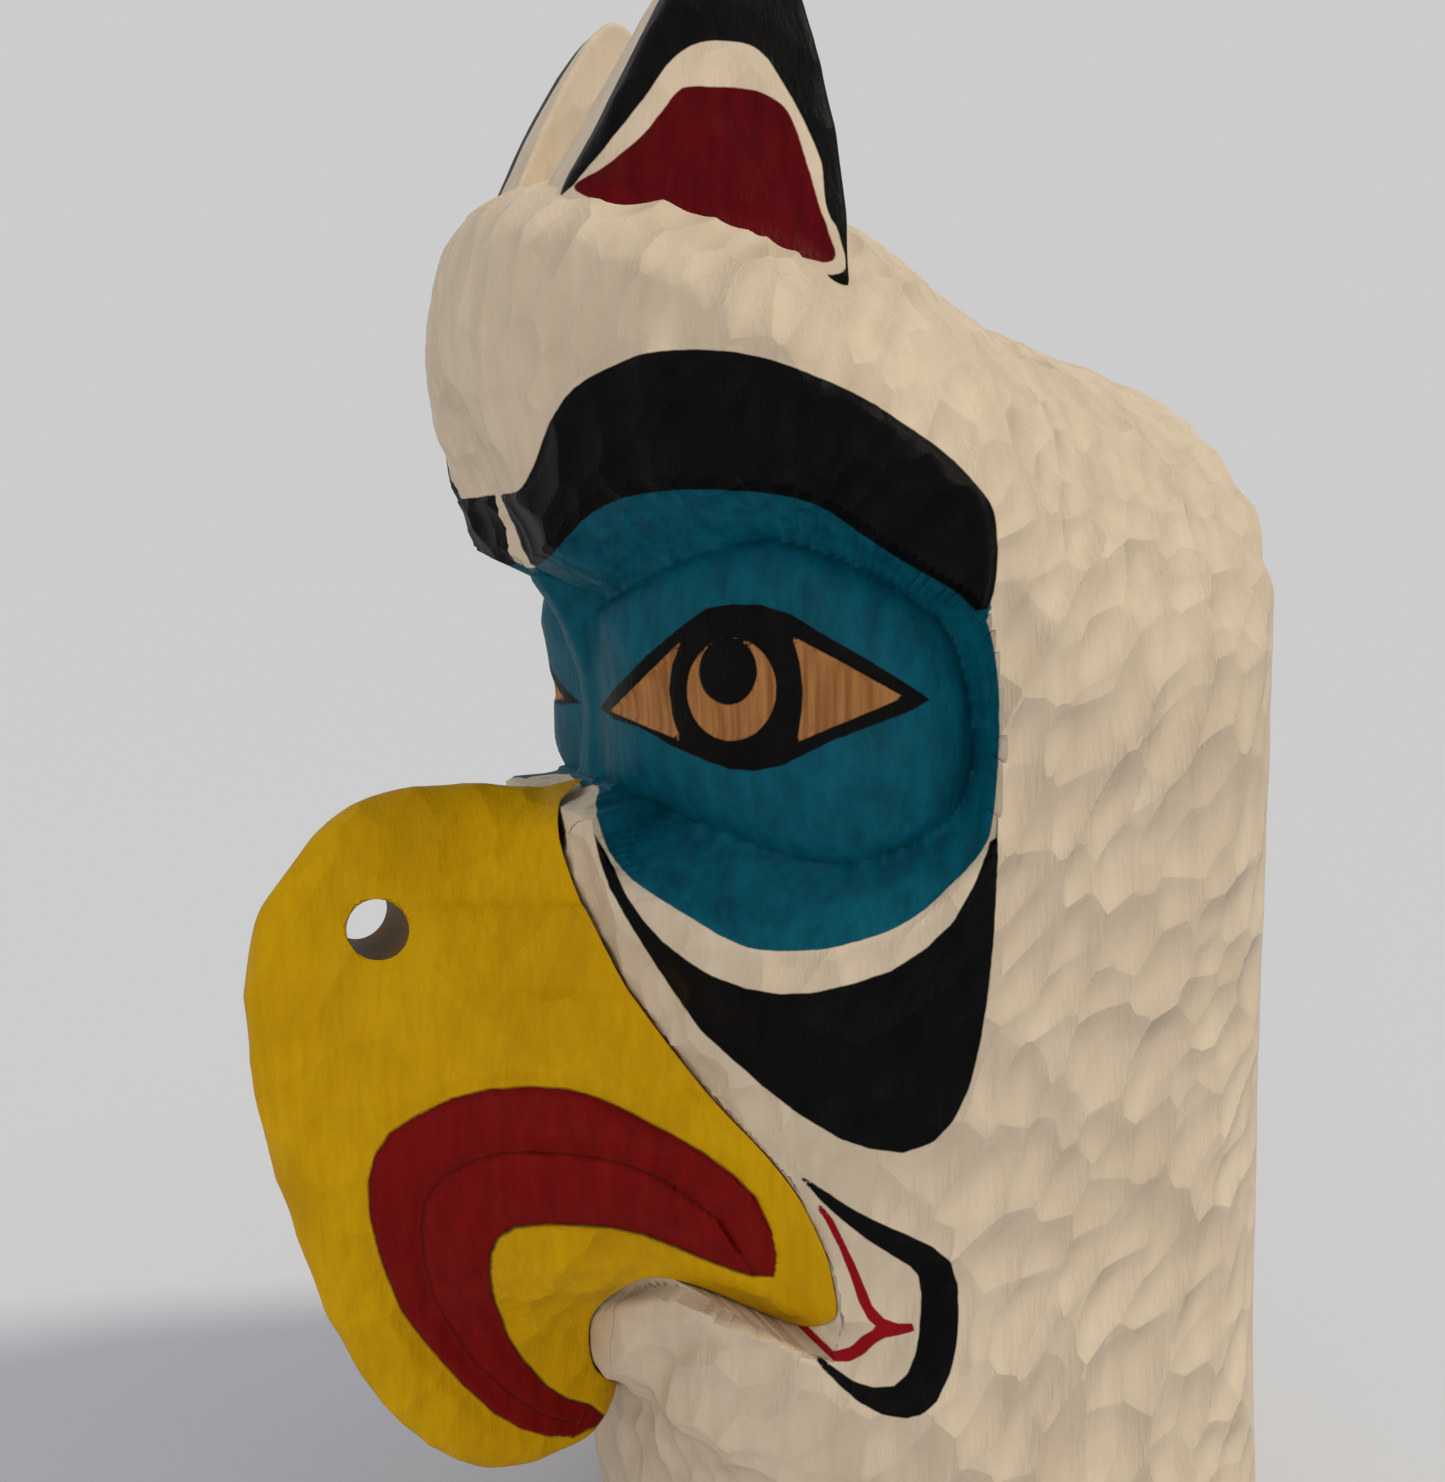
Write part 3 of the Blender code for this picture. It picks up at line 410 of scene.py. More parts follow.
def carved(points, rays):
    """Cut the carving into points of the log's left half, each back along its own ray."""
    depths = depth_map()
    x, y, z = points.T
    facing = 1 - ease(*CARVING_FADES, y)
    middle = (1 - ease(*BRIDGE_SPREAD, x)) * ease(*BRIDGE_RISES, z) * (1 - ease(*BRIDGE_STOPS, z))
    dip = BROW_DIP * (1 - ease(*DIP_SPREAD, x)) * ease(*DIP_BEGINS, z) * (1 - ease(*DIP_STOPS, z))
    wedge = (1 - ease(*PARTING_EDGE, x - parting(z))) * ease(*WEDGE_BEGINS, z) * (z < PARTING_TOP)
    dip += BROW_RAISE * wedge
    cut = np.full(len(points), -BROW_RAISE - JAW_ROLL)
    short_before = np.full(len(points), 1.0)
    done = np.zeros(len(points), bool)
    for tried in np.arange(-BROW_RAISE - JAW_ROLL, DEEPEST_CUT, CUT_STEP):
        wanted = read_map(depths, *photo_point(points - rays * tried)) * facing + dip
        wanted += (curve(BRIDGE_DEPTH, z) - wanted) * middle
        short = wanted - tried
        reached = (short <= 0) & ~done
        share = short_before / np.maximum(short_before - short, 1e-6)
        cut = np.where(reached, tried - CUT_STEP * (1 - np.clip(share, 0, 1)), cut)
        done |= reached
        short_before = np.where(done, short_before, short)
    return points - rays * np.where(done, cut, DEEPEST_CUT)[:, None]


def spread(parts):
    """Positions from runs of (start, end, count), which give each stretch its own fineness."""
    runs = [np.linspace(start, end, count, endpoint=False) for start, end, count in parts]
    return np.concatenate(runs + [[parts[-1][1]]])


def log_grid():
    """Rings of points round the figure's left half, fine over the face, coarse behind."""
    angles = np.radians(spread(ROUND_RUNS))
    heights = spread(HEIGHT_RUNS)
    lifts = np.radians(spread(CROWN_RUNS))
    height = np.concatenate([heights, np.full(len(lifts), AXIS_TOP)])
    lift = np.concatenate([np.zeros(len(heights)), lifts])
    height, turn = np.meshgrid(height, angles, indexing="ij")
    lift = np.meshgrid(lift, angles, indexing="ij")[0]
    rays = np.stack([np.sin(turn) * np.cos(lift), -np.cos(turn) * np.cos(lift), np.sin(lift)], -1)
    rays[:, [0, -1], 0] = 0.0
    origins = np.stack([0 * height, 0 * height + AXIS_Y, height], -1)
    rays = rays.reshape(-1, 3)
    points = carved(log_surface(origins.reshape(-1, 3), rays), rays)
    points[:, 1] = np.minimum(points[:, 1], BACK_PLANE)
    rings = points.reshape(*height.shape, 3)
    rings[0, :, 2] = 0.0
    return rings


def mirrored_mesh(name, rings, top):
    """A closed mesh from rings over the left half, with its mirror image and a tip."""
    left = rings
    right = rings[:, 1:-1][:, ::-1] * (-1, 1, 1)
    whole = np.concatenate([left, right], axis=1)
    rows, columns = whole.shape[:2]
    points = np.vstack([whole.reshape(-1, 3), top]) * METRES
    faces = []
    for r in range(rows - 1):
        for c in range(columns):
            a, b = r * columns + c, r * columns + (c + 1) % columns
            faces.append((a, b, b + columns, a + columns))
    last, tip = (rows - 1) * columns, rows * columns
    faces += [(last + c, last + (c + 1) % columns, tip) for c in range(columns)]
    faces.append(tuple(range(columns))[::-1])
    mesh = bpy.data.meshes.new(name)
    mesh.from_pydata(points.tolist(), [], faces)
    made = bpy.data.objects.new(name, mesh)
    bpy.context.scene.collection.objects.link(made)
    return made


def as_plain_mesh(piece):
    """Turn a piece's modifiers into its mesh."""
    evaluated = piece.evaluated_get(bpy.context.evaluated_depsgraph_get())
    mesh = bpy.data.meshes.new_from_object(evaluated)
    piece.modifiers.clear()
    piece.data = mesh


def add(tree, kind, inputs=None, **settings):
    """Add one node with its settings, its values and what is linked into it."""
    made = tree.nodes.new(kind)
    for setting, value in settings.items():
        setattr(made, setting, value)
    for key, value in (inputs or {}).items():
        if isinstance(value, bpy.types.NodeSocket):
            tree.links.new(value, made.inputs[key])
        else:
            made.inputs[key].default_value = value
    return made


SLANT = 0.5                  # the strokes lean by this angle, in radians
BENDS = 9.0                  # per metre: the borders of the cuts bend about every 110 mm
CUT_RIM = 0.55               # a scoop runs out at this distance squared, in sizes of a cut


def tool_cells(tree, place, size, waver, seed):
    """The cells of the tool's single cuts, slanting, and bent so that no two are alike."""
    place = add(tree, "ShaderNodeVectorRotate", {"Vector": place, "Angle": SLANT},
                rotation_type="X_AXIS").outputs[0]
    drift = add(tree, "ShaderNodeTexNoise", {"Vector": place, "Scale": BENDS, "Detail": 1.0})
    centred = add(tree, "ShaderNodeVectorMath", {0: drift.outputs["Color"], 1: (0.5, 0.5, 0.5)},
                  operation="SUBTRACT")
    wavered = add(tree, "ShaderNodeVectorMath", {0: centred.outputs[0], 3: waver},
                  operation="SCALE")
    moved = add(tree, "ShaderNodeVectorMath", {0: place, 1: wavered.outputs[0]}, operation="ADD")
    in_cuts = add(tree, "ShaderNodeVectorMath", {0: moved.outputs[0], 1: size},
                  operation="DIVIDE")
    seeded = add(tree, "ShaderNodeVectorMath", {0: in_cuts.outputs[0], 1: seed}, operation="ADD")
    return add(tree, "ShaderNodeTexVoronoi", {"Vector": seeded.outputs[0], "Scale": 1.0,
                                              "Randomness": 0.9})


def tool_cuts():
    """Geometry Nodes: shallow scoops side by side, as an adze or a crooked knife leaves them."""
    tree = bpy.data.node_groups.new("tool_cuts", "GeometryNodeTree")
    tree.interface.new_socket("Geometry", in_out="OUTPUT", socket_type="NodeSocketGeometry")
    tree.interface.new_socket("Geometry", in_out="INPUT", socket_type="NodeSocketGeometry")
    for title, kind in (("Cut Size", "NodeSocketVector"), ("Cut Depth", "NodeSocketFloat"),
                        ("Waver", "NodeSocketFloat"), ("Seed", "NodeSocketVector"),
                        ("Finish", "NodeSocketMaterial")):
        tree.interface.new_socket(title, in_out="INPUT", socket_type=kind)
    given = add(tree, "NodeGroupInput").outputs
    place = add(tree, "GeometryNodeInputPosition").outputs[0]
    cells = tool_cells(tree, place, given["Cut Size"], given["Waver"], given["Seed"])
    bowl = add(tree, "ShaderNodeMath", {0: cells.outputs["Distance"], 1: 2.0}, operation="POWER")
    below = add(tree, "ShaderNodeMath", {0: bowl.outputs[0], 1: CUT_RIM}, operation="SUBTRACT")
    capped = add(tree, "ShaderNodeMath", {0: below.outputs[0], 1: 0.0}, operation="MINIMUM")
    scooped = add(tree, "ShaderNodeMath", {0: capped.outputs[0], 1: given["Cut Depth"]},
                  operation="MULTIPLY")
    tooled = add(tree, "GeometryNodeInputNamedAttribute", {"Name": "tooled"}, data_type="FLOAT")
    masked = add(tree, "ShaderNodeMath", {0: scooped.outputs[0], 1: tooled.outputs[0]},
                 operation="MULTIPLY")
    normal = add(tree, "GeometryNodeInputNormal").outputs[0]
    offset = add(tree, "ShaderNodeVectorMath", {0: normal, 3: masked.outputs[0]}, operation="SCALE")
    cut = add(tree, "GeometryNodeSetPosition", {"Geometry": given["Geometry"],
                                                "Offset": offset.outputs[0]})
    real = add(tree, "GeometryNodeRealizeInstances", {"Geometry": cut.outputs[0]})
    finished = add(tree, "GeometryNodeSetMaterial", {"Geometry": real.outputs[0],
                                                     "Material": given["Finish"]})
    add(tree, "NodeGroupOutput", {"Geometry": finished.outputs[0]})
    return tree


TOOL_CUTS = tool_cuts()


def cut_over(piece, cuts, finish):
    """Run the tool over a piece and keep the result as its mesh."""
    size, depth, waver, seed = cuts
    modifier = piece.modifiers.new("tool_cuts", "NODES")
    modifier.node_group = TOOL_CUTS
    wanted = {"Cut Size": size, "Cut Depth": depth, "Waver": waver, "Seed": seed, "Finish": finish}
    for item in TOOL_CUTS.interface.items_tree:
        if item.in_out == "INPUT" and item.name in wanted:
            modifier[item.identifier] = wanted[item.name]
    as_plain_mesh(piece)


def set_values(piece, name, values):
    """Store one number for each point of a piece."""
    layer = piece.data.attributes.new(name, "FLOAT", "POINT")
    layer.data.foreach_set("value", np.asarray(values, np.float32))


def drawn_points(piece):
    """A piece's points in the drawing's millimetres, with the far half folded onto the near."""
    flat = np.empty(len(piece.data.vertices) * 3, np.float32)
    piece.data.vertices.foreach_get("co", flat)
    points = flat.reshape(-1, 3).astype(float) / METRES
    points[:, 0] = np.abs(points[:, 0])
    return points


def linear(code, alpha=1.0):
    """An sRGB hex colour as linear values."""
    parts = [int(code[k:k + 2], 16) / 255 for k in (1, 3, 5)]
    return (*((c / 12.92 if c <= 0.04045 else ((c + 0.055) / 1.055) ** 2.4) for c in parts), alpha)


# Repeats of the paint's patterns in a metre
CLOUDS = 14.0                # soft patches about 70 mm wide
SHAKES = 130.0               # the hand's waver along an edge, every 8 mm
BRISTLES = (420, 420, 60)    # tracks 2.4 mm apart, as coarse as they need to be to show
CREAM_STROKES = (70, 70, 9)  # 14 mm wide and 110 mm long
BLUE_STROKES = (90, 90, 40)  # 11 mm wide and 25 mm long
BLACK_STROKES = (60, 60, 20)
CEDAR_GRAIN = (170, 170, 7)  # 6 mm wide and 140 mm long


def start_paint(name, colour, worn_colour, streak):
    """House paint put on thick with a brush: two close tones that run in the strokes."""
    material = bpy.data.materials.new(name)
    material.use_nodes = True
    tree = material.node_tree
    tree.nodes.clear()
    place = add(tree, "ShaderNodeTexCoord").outputs["Object"]
    along = add(tree, "ShaderNodeMapping", {"Vector": place, "Scale": streak})
    brushed = add(tree, "ShaderNodeTexNoise", {"Vector": along.outputs[0], "Scale": 1.0,
                                               "Detail": 5.0, "Roughness": 0.6})
    cloudy = add(tree, "ShaderNodeTexNoise", {"Vector": place, "Scale": CLOUDS, "Detail": 4.0})
    mixed = add(tree, "ShaderNodeMath", {0: brushed.outputs["Fac"], 1: cloudy.outputs["Fac"]},
                operation="MULTIPLY")
    tone = add(tree, "ShaderNodeMapRange", {"Value": mixed.outputs[0], "From Min": 0.16,
                                            "From Max": 0.36})
    coat = add(tree, "ShaderNodeMix", {0: tone.outputs[0], 6: linear(worn_colour),
                                       7: linear(colour)}, data_type="RGBA")
    return material, tree, place, coat.outputs[2]


def brush_edge(tree, place, attribute, softness=0.5, waver=1.1):
    """1 inside a painted form and 0 outside, with the small waver of a hand-held brush."""
    distance = add(tree, "ShaderNodeAttribute", attribute_name=attribute).outputs["Fac"]
    hand = add(tree, "ShaderNodeTexNoise", {"Vector": place, "Scale": SHAKES, "Detail": 2.0})
    centred = add(tree, "ShaderNodeMath", {0: hand.outputs["Fac"], 1: 0.5}, operation="SUBTRACT")
    shaken = add(tree, "ShaderNodeMath", {0: centred.outputs[0], 1: waver, 2: distance},
                 operation="MULTIPLY_ADD")
    edge = add(tree, "ShaderNodeMapRange", {"Value": shaken.outputs[0], "From Min": -softness,
                                            "From Max": softness})
    return edge.outputs[0]


def lay_over(tree, mask, coat, colour):
    """Lay one colour over another where a mask says."""
    mixed = add(tree, "ShaderNodeMix", {0: mask, 6: coat, 7: colour}, data_type="RGBA")
    return mixed.outputs[2]


def streaked(tree, place, scale, dark, light, low=0.35, high=0.65):
    """Two tones of one paint in long streaks."""
    along = add(tree, "ShaderNodeMapping", {"Vector": place, "Scale": scale})
    noise = add(tree, "ShaderNodeTexNoise", {"Vector": along.outputs[0], "Scale": 1.0,
                                             "Detail": 5.0, "Roughness": 0.55})
    tone = add(tree, "ShaderNodeMapRange", {"Value": noise.outputs["Fac"], "From Min": low,
                                            "From Max": high})
    mixed = add(tree, "ShaderNodeMix", {0: tone.outputs[0], 6: linear(dark), 7: linear(light)},
                data_type="RGBA")
    return mixed.outputs[2]


def close_paint(tree, place, coat, roughness, cuts):
    """The tool's single cuts under the paint, with a painted shade that differs from cut to cut, its
    bristle marks, and the shader itself.
    """
    size, depth, waver, seed = cuts
    tooled = add(tree, "ShaderNodeAttribute", attribute_name="tooled").outputs["Fac"]
    cells = tool_cells(tree, place, size, waver, seed)
    # Each cut gets a tone of its own: painted shade, standing in for light that falls differently on
    # each facet.
    tone = add(tree, "ShaderNodeSeparateColor", {0: cells.outputs["Color"]}).outputs[0]
    facet_painted_shade = add(tree, "ShaderNodeMapRange", {"Value": tone, "To Min": -0.06, "To Max": 0.03})
    shade = add(tree, "ShaderNodeMath", {0: facet_painted_shade.outputs[0], 1: tooled, 2: 1.0},
                operation="MULTIPLY_ADD")
    worked = add(tree, "ShaderNodeMix", {0: 1.0, 6: coat, 7: shade.outputs[0]},
                 data_type="RGBA", blend_type="MULTIPLY")
    scoop = add(tree, "ShaderNodeMath", {0: cells.outputs["Distance"], 1: 2.0}, operation="POWER")
    scooped = add(tree, "ShaderNodeMath", {0: scoop.outputs[0], 1: tooled}, operation="MULTIPLY")
    facets = add(tree, "ShaderNodeBump", {"Height": scooped.outputs[0], "Strength": 1.0,
                                          "Distance": depth})
    bristle_place = add(tree, "ShaderNodeMapping", {"Vector": place, "Scale": BRISTLES})
    bristles = add(tree, "ShaderNodeTexNoise", {"Vector": bristle_place.outputs[0], "Scale": 1.0,
                                                "Detail": 2.0})
    bump = add(tree, "ShaderNodeBump", {"Height": bristles.outputs["Fac"], "Strength": 0.5,
                                        "Distance": 0.001, "Normal": facets.outputs[0]})
    shader = add(tree, "ShaderNodeBsdfPrincipled",
                 {"Base Color": worked.outputs[2], "Normal": bump.outputs[0], "Metallic": 0.0,
                  "Roughness": roughness, "Specular IOR Level": 0.06})
    add(tree, "ShaderNodeOutputMaterial", {"Surface": shader.outputs[0]})


# Size of one cut, its depth, how far its borders bend, in metres, and the seed of the pattern
HEAD_CUTS = ((0.028, 0.019, 0.040), 0.0068, 0.045, (3.0, 1.0, 7.0))


def head_paint():
    """Matt cream house paint, with black, blue-green and red forms and bare cedar in the eyes.

    It has no shine, so the eye reads the facets of the cuts under it.
    """
    material, tree, place, coat = start_paint("brushed_cream_paint", "#D5C4AE", "#CAB9A3",
                                              CREAM_STROKES)
    blue = streaked(tree, place, BLUE_STROKES, "#044556", "#06566A")
    black = streaked(tree, place, BLACK_STROKES, "#050506", "#0A0A0B")
    red = linear("#8A0A18")
    wood = streaked(tree, place, CEDAR_GRAIN, "#8A5730", "#A87646", 0.38, 0.6)
    coat = lay_over(tree, brush_edge(tree, place, "socket_paint"), coat, blue)
    for attribute in ("brow_paint", "cheek_paint", "mouth_paint", "eye_paint"):
        coat = lay_over(tree, brush_edge(tree, place, attribute), coat, black)
    coat = lay_over(tree, brush_edge(tree, place, "eye_wood"), coat, wood)
    coat = lay_over(tree, brush_edge(tree, place, "mouth_red", 0.4, 0.5), coat, red)
    close_paint(tree, place, coat, 0.5, HEAD_CUTS)
    return material


def make_head():
    """The carved log, before the tool's single cuts."""
    top = log_surface(np.array([[0.0, AXIS_Y, AXIS_TOP]]), np.array([[0.0, 0.0, 1.0]]))
    return mirrored_mesh("carved_head", log_grid(), top)


UNPAINTED = -50.0            # a distance well outside every painted form
BACK_MARGIN = 15.0           # no paint forms nearer than this to the back
BROW_OVERLAP = 3.0           # pixels that the blue runs on under the black of the brow
LINE_WIDER = 1.6             # pixels that a loaded brush adds to each side of a fine line


def paint_head(head):
    """Distances to the edges of the painted forms, in millimetres, at every point."""
    points = drawn_points(head)
    u, v = photo_point(points)
    x, y, z = points.T
    wedge = np.where(z < PARTING_TOP, x - parting(z), WELL_OUTSIDE) / PIXEL
    brow = inside_by(rounded(BROW_LINE), u, v)
    socket = inside_by(rounded(SOCKET_LINE), u, v)
    forms = {
        "brow_paint": np.minimum(brow, wedge),
        "socket_paint": np.maximum(socket, np.minimum(np.minimum(brow, wedge) + BROW_OVERLAP,
                                                      socket + 4 * BROW_OVERLAP)),
        "cheek_paint": inside_by(np.array(CHEEK_BLACK_LINE, float), u, v),
        "mouth_paint": inside_by(np.array(MOUTH_BLACK_LINE, float), u, v) + LINE_WIDER / 2,
        "mouth_red": inside_by(np.array(MOUTH_RED_LINE, float), u, v) + LINE_WIDER,
        "eye_paint": inside_by(np.array(EYE_BLACK_LINE, float), u, v),
        "eye_wood": eye_wood(u, v),
    }
    for name, distance in forms.items():
        set_values(head, name, np.where(y < BACK_PLANE - BACK_MARGIN, distance * PIXEL, UNPAINTED))


# How far the knife has smoothed the adze's marks away, and over which pixels that comes about
SOCKET_SMOOTHED, SOCKET_FADE = 0.85, (-14, 6)
JAW_SMOOTHED, JAW_FADE = 0.6, (-10, 10)
FACE_SMOOTHED, FACE_FADE = 0.2, (960, 1040)
BACK_FADE = (78, 96)         # places of Y: the back is sawn, not adzed
FOOT_FADE = (0, 12)


def tool_marks(head):
    """How strongly the adze marks the wood: most on the bare sides, hardly in the sockets."""
    points = drawn_points(head)
    u, v = photo_point(points)
    socket = inside_by(rounded(SOCKET_LINE), u, v)
    jaw = inside_by(rounded(JAW_LINE), u, v)
    strength = 1 - SOCKET_SMOOTHED * ease(*SOCKET_FADE, socket) - JAW_SMOOTHED * ease(*JAW_FADE, jaw)
    strength *= 1 - FACE_SMOOTHED * (1 - ease(*FACE_FADE, u))
    strength *= 1 - ease(*BACK_FADE, points[:, 1])
    strength *= ease(*FOOT_FADE, points[:, 2])
    set_values(head, "tooled", np.clip(strength, 0, 1))


HEAD_PAINT = head_paint()
head = make_head()
tool_marks(head)
cut_over(head, HEAD_CUTS, HEAD_PAINT)

# The beak's outline from the side, as (y, z) points
RIDGE_LINE = (
    (-229, 517), (-252, 514), (-285, 517), (-325, 518), (-352, 514), (-378, 501), (-402, 473),
    (-419, 445), (-426, 408), (-423, 360), (-414, 310), (-399, 258), (-381, 205), (-354, 156),
    (-320, 119), (-284, 103), (-250, 106), (-228, 114), (-213, 132), (-211, 145),
)
MOUTH_LINE = (
    (-211, 145), (-223, 155), (-232, 168), (-236, 190), (-235, 215), (-231, 240), (-222, 250),
    (-203, 248), (-177, 238), (-158, 233),
)
SEAM_LINE = (
    (-158, 233), (-155, 255), (-158, 285), (-168, 314), (-181, 335), (-201, 361), (-231, 410),
    (-249, 455), (-258, 490), (-253, 506), (-240, 513), (-229, 517),
)
BED_FRONT = ((-227, 519), (-240, 523), (-290, 560), (-600, 560), (-600, 60), (-260, 60), (-208, 122))
BED_GAP = 0.8


def prism(name, outline, reach):
    """A bar across the figure with the given side view, to cut with."""
    count = len(outline)
    near = np.column_stack([np.full(count, reach), outline]) * METRES
    far = np.column_stack([np.full(count, -reach), outline]) * METRES
    faces = [(k, k + count, (k + 1) % count + count, (k + 1) % count) for k in range(count)]
    faces += [tuple(range(count)), tuple(range(2 * count - 1, count - 1, -1))]
    mesh = bpy.data.meshes.new(name)
    mesh.from_pydata(np.vstack([near, far]).tolist(), [], faces)
    bar = bpy.data.objects.new(name, mesh)
    bpy.context.scene.collection.objects.link(bar)
    return bar


def cut_away(piece, bar):
    """Cut a bar out of a piece for good."""
    taken = piece.modifiers.new(bar.name, "BOOLEAN")
    taken.operation = "DIFFERENCE"
    taken.solver = "EXACT"
    taken.object = bar
    as_plain_mesh(piece)
    bpy.data.objects.remove(bar)


def bed_outline():
    """Side view of what the beak takes out of the head: its seam and mouth, set back a gap."""
    mouth = rounded(MOUTH_LINE, closed=False, steps=2)
    seam = rounded(SEAM_LINE, closed=False, steps=2)
    edge = np.vstack([mouth, seam[1:]])
    run = np.gradient(edge, axis=0)
    outward = np.stack([run[:, 1], -run[:, 0]], axis=1)
    outward /= np.linalg.norm(outward, axis=1)[:, None]
    return np.vstack([edge + outward * BED_GAP, BED_FRONT])


cut_away(head, prism("beak_bed", bed_outline(), DRAWN_FOOT_WIDTH))
paint_head(head)
head.data.shade_smooth()
head.data.set_sharp_from_angle(angle=math.radians(50))
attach(head, "root")
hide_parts("eagle_head")

# The ears
# Two upright blades of the same log. Only the outer faces are painted: a black border, a cream
# strip and a red hollow in the middle. Edges and backs are plain cream.
EAR_LINE = (
    (-262, 780), (-270, 815), (-266, 835), (-246, 873), (-226, 912), (-206, 946), (-192, 965),
    (-178, 975), (-163, 968), (-153, 945), (-147, 910), (-143, 870), (-142, 830), (-146, 780),
)
EAR_FOOT_Z = 820.0
EAR_REACH = 300.0
EAR_FACE_HALF_WIDTH = 190.0
EAR_LEAN = 0.35
EAR_THICKNESS = 74.0
EAR_TIP_THICKNESS = 34.0
EAR_EDGE = 5.0               # rounding of the blade's edges
EAR_HOLLOW = 3.0             # how far the red middle is hollowed out
HOLLOW_SLOPE = (-4, 26)      # pixels over which the hollow deepens
EAR_SPACING = 3.0
EAR_RINGS = 4
EAR_CREAM_LINE = (
    (574, 185), (603, 150), (625, 121), (648, 92), (667, 64), (686, 48), (705, 41), (731, 41),
    (750, 45), (766, 56), (779, 76), (791, 96), (804, 121), (814, 143), (822, 166), (825, 198),
    (830, 217), (839, 234), (836, 275), (700, 240), (560, 210),
)
EAR_RED_LINE = (
    (574, 186), (597, 171), (622, 153), (645, 132), (661, 112), (677, 92), (692, 86), (743, 88),
    (766, 94), (785, 107), (794, 124), (804, 153), (812, 179), (820, 207), (829, 232), (826, 262),
    (700, 225), (597, 200),
)


def evenly(line, spacing):
    """Points at equal steps along an open line, with both of its ends."""
    line = np.asarray(line, float)
    run = np.concatenate([[0.0], np.cumsum(np.hypot(*np.diff(line, axis=0).T))])
    at = np.linspace(0, run[-1], max(int(run[-1] / spacing), 2) + 1)
    return np.column_stack([np.interp(at, run, line[:, k]) for k in (0, 1)])


def inset_rings(loop, where, radius, count):
    """Rings inside part of an outline, closer together toward it, where the surface turns."""
    forward = np.roll(loop, -1, axis=0) - np.roll(loop, 1, axis=0)
    normal = np.stack([-forward[:, 1], forward[:, 0]], axis=1)
    normal /= np.linalg.norm(normal, axis=1)[:, None]
    rings = []
    for turn in np.arange(1, count + 1) / count * (math.pi / 2):
        offset = radius * (1 - math.cos(turn))
        ring = (loop + normal * offset)[where]
        rings.append(ring[inside_by(loop, *ring.T) > offset * 0.97])
    return rings


def side_view(loop, rings, spacing):
    """Triangles that fill a side view through its outline, its rings and an even grid."""
    low, high = loop.min(axis=0), loop.max(axis=0)
    rows = np.arange(low[1], high[1], spacing * 0.87)
    columns = np.arange(low[0], high[0], spacing)
    grid = np.stack(np.meshgrid(columns, rows), axis=-1)
    grid[1::2, :, 0] += spacing / 2
    grid = grid.reshape(-1, 2)
    grid = grid[inside_by(loop, *grid.T) > spacing * 0.5]
    edge = np.vstack([loop] + rings)
    gap = np.array([np.hypot(*(edge - point).T).min() for point in grid])
    points = np.vstack([edge, grid[gap > spacing * 0.6]])
    ring = [(k, (k + 1) % len(loop)) for k in range(len(loop))]
    filled = delaunay_2d_cdt([Vector(point) for point in points], ring, [], 1, 1e-5)
    return np.array([tuple(point) for point in filled[0]]), filled[2]


def two_sheets(name, flat, triangles, near, far):
    """A closed mesh from two sheets over one side view, joined round its edge."""
    apart = np.abs(near - far) > 1e-6
    behind = np.arange(len(flat))
    behind[apart] = len(flat) + np.arange(apart.sum())
    points = np.vstack([np.column_stack([near, flat]), np.column_stack([far, flat])[apart]])
    faces = [tuple(triangle) for triangle in triangles]
    faces += [tuple(behind[k] for k in reversed(triangle)) for triangle in triangles]
    edges = {(face[k], face[(k + 1) % 3]) for face in triangles for k in range(3)}
    for a, b in sorted(edges):
        if (b, a) not in edges and (apart[a] or apart[b]):
            faces.append(tuple(dict.fromkeys((b, a, int(behind[a]), int(behind[b])))))
    mesh = bpy.data.meshes.new(name)
    mesh.from_pydata((points * METRES).tolist(), [], faces)
    made = bpy.data.objects.new(name, mesh)
    bpy.context.scene.collection.objects.link(made)
    return made


def edge_drop(inside, radius):
    """How far a rounded edge falls away, from the distance inside its outline."""
    t = np.clip(inside / radius, 0, 1)
    return radius * (1 - np.sqrt(1 - (1 - t) ** 2))


RED_STROKES = (120, 120, 18)
EAR_CUTS = ((0.022, 0.022, 0.030), 0.0014, 0.02, (5.0, 2.0, 4.0))


def ear_paint():
    """The ear's cream, black and red paint, matt like the head's, with a little more sheen."""
    material, tree, place, coat = start_paint("brushed_ear_paint", "#D5C4AE", "#CAB9A3",
                                              CREAM_STROKES)
    black = streaked(tree, place, BLACK_STROKES, "#070708", "#0F1011")
    red = streaked(tree, place, RED_STROKES, "#4E0108", "#5C040C")
    coat = lay_over(tree, brush_edge(tree, place, "ear_black"), coat, black)
    coat = lay_over(tree, brush_edge(tree, place, "ear_red"), coat, red)
    close_paint(tree, place, coat, 0.45, EAR_CUTS)
    return material


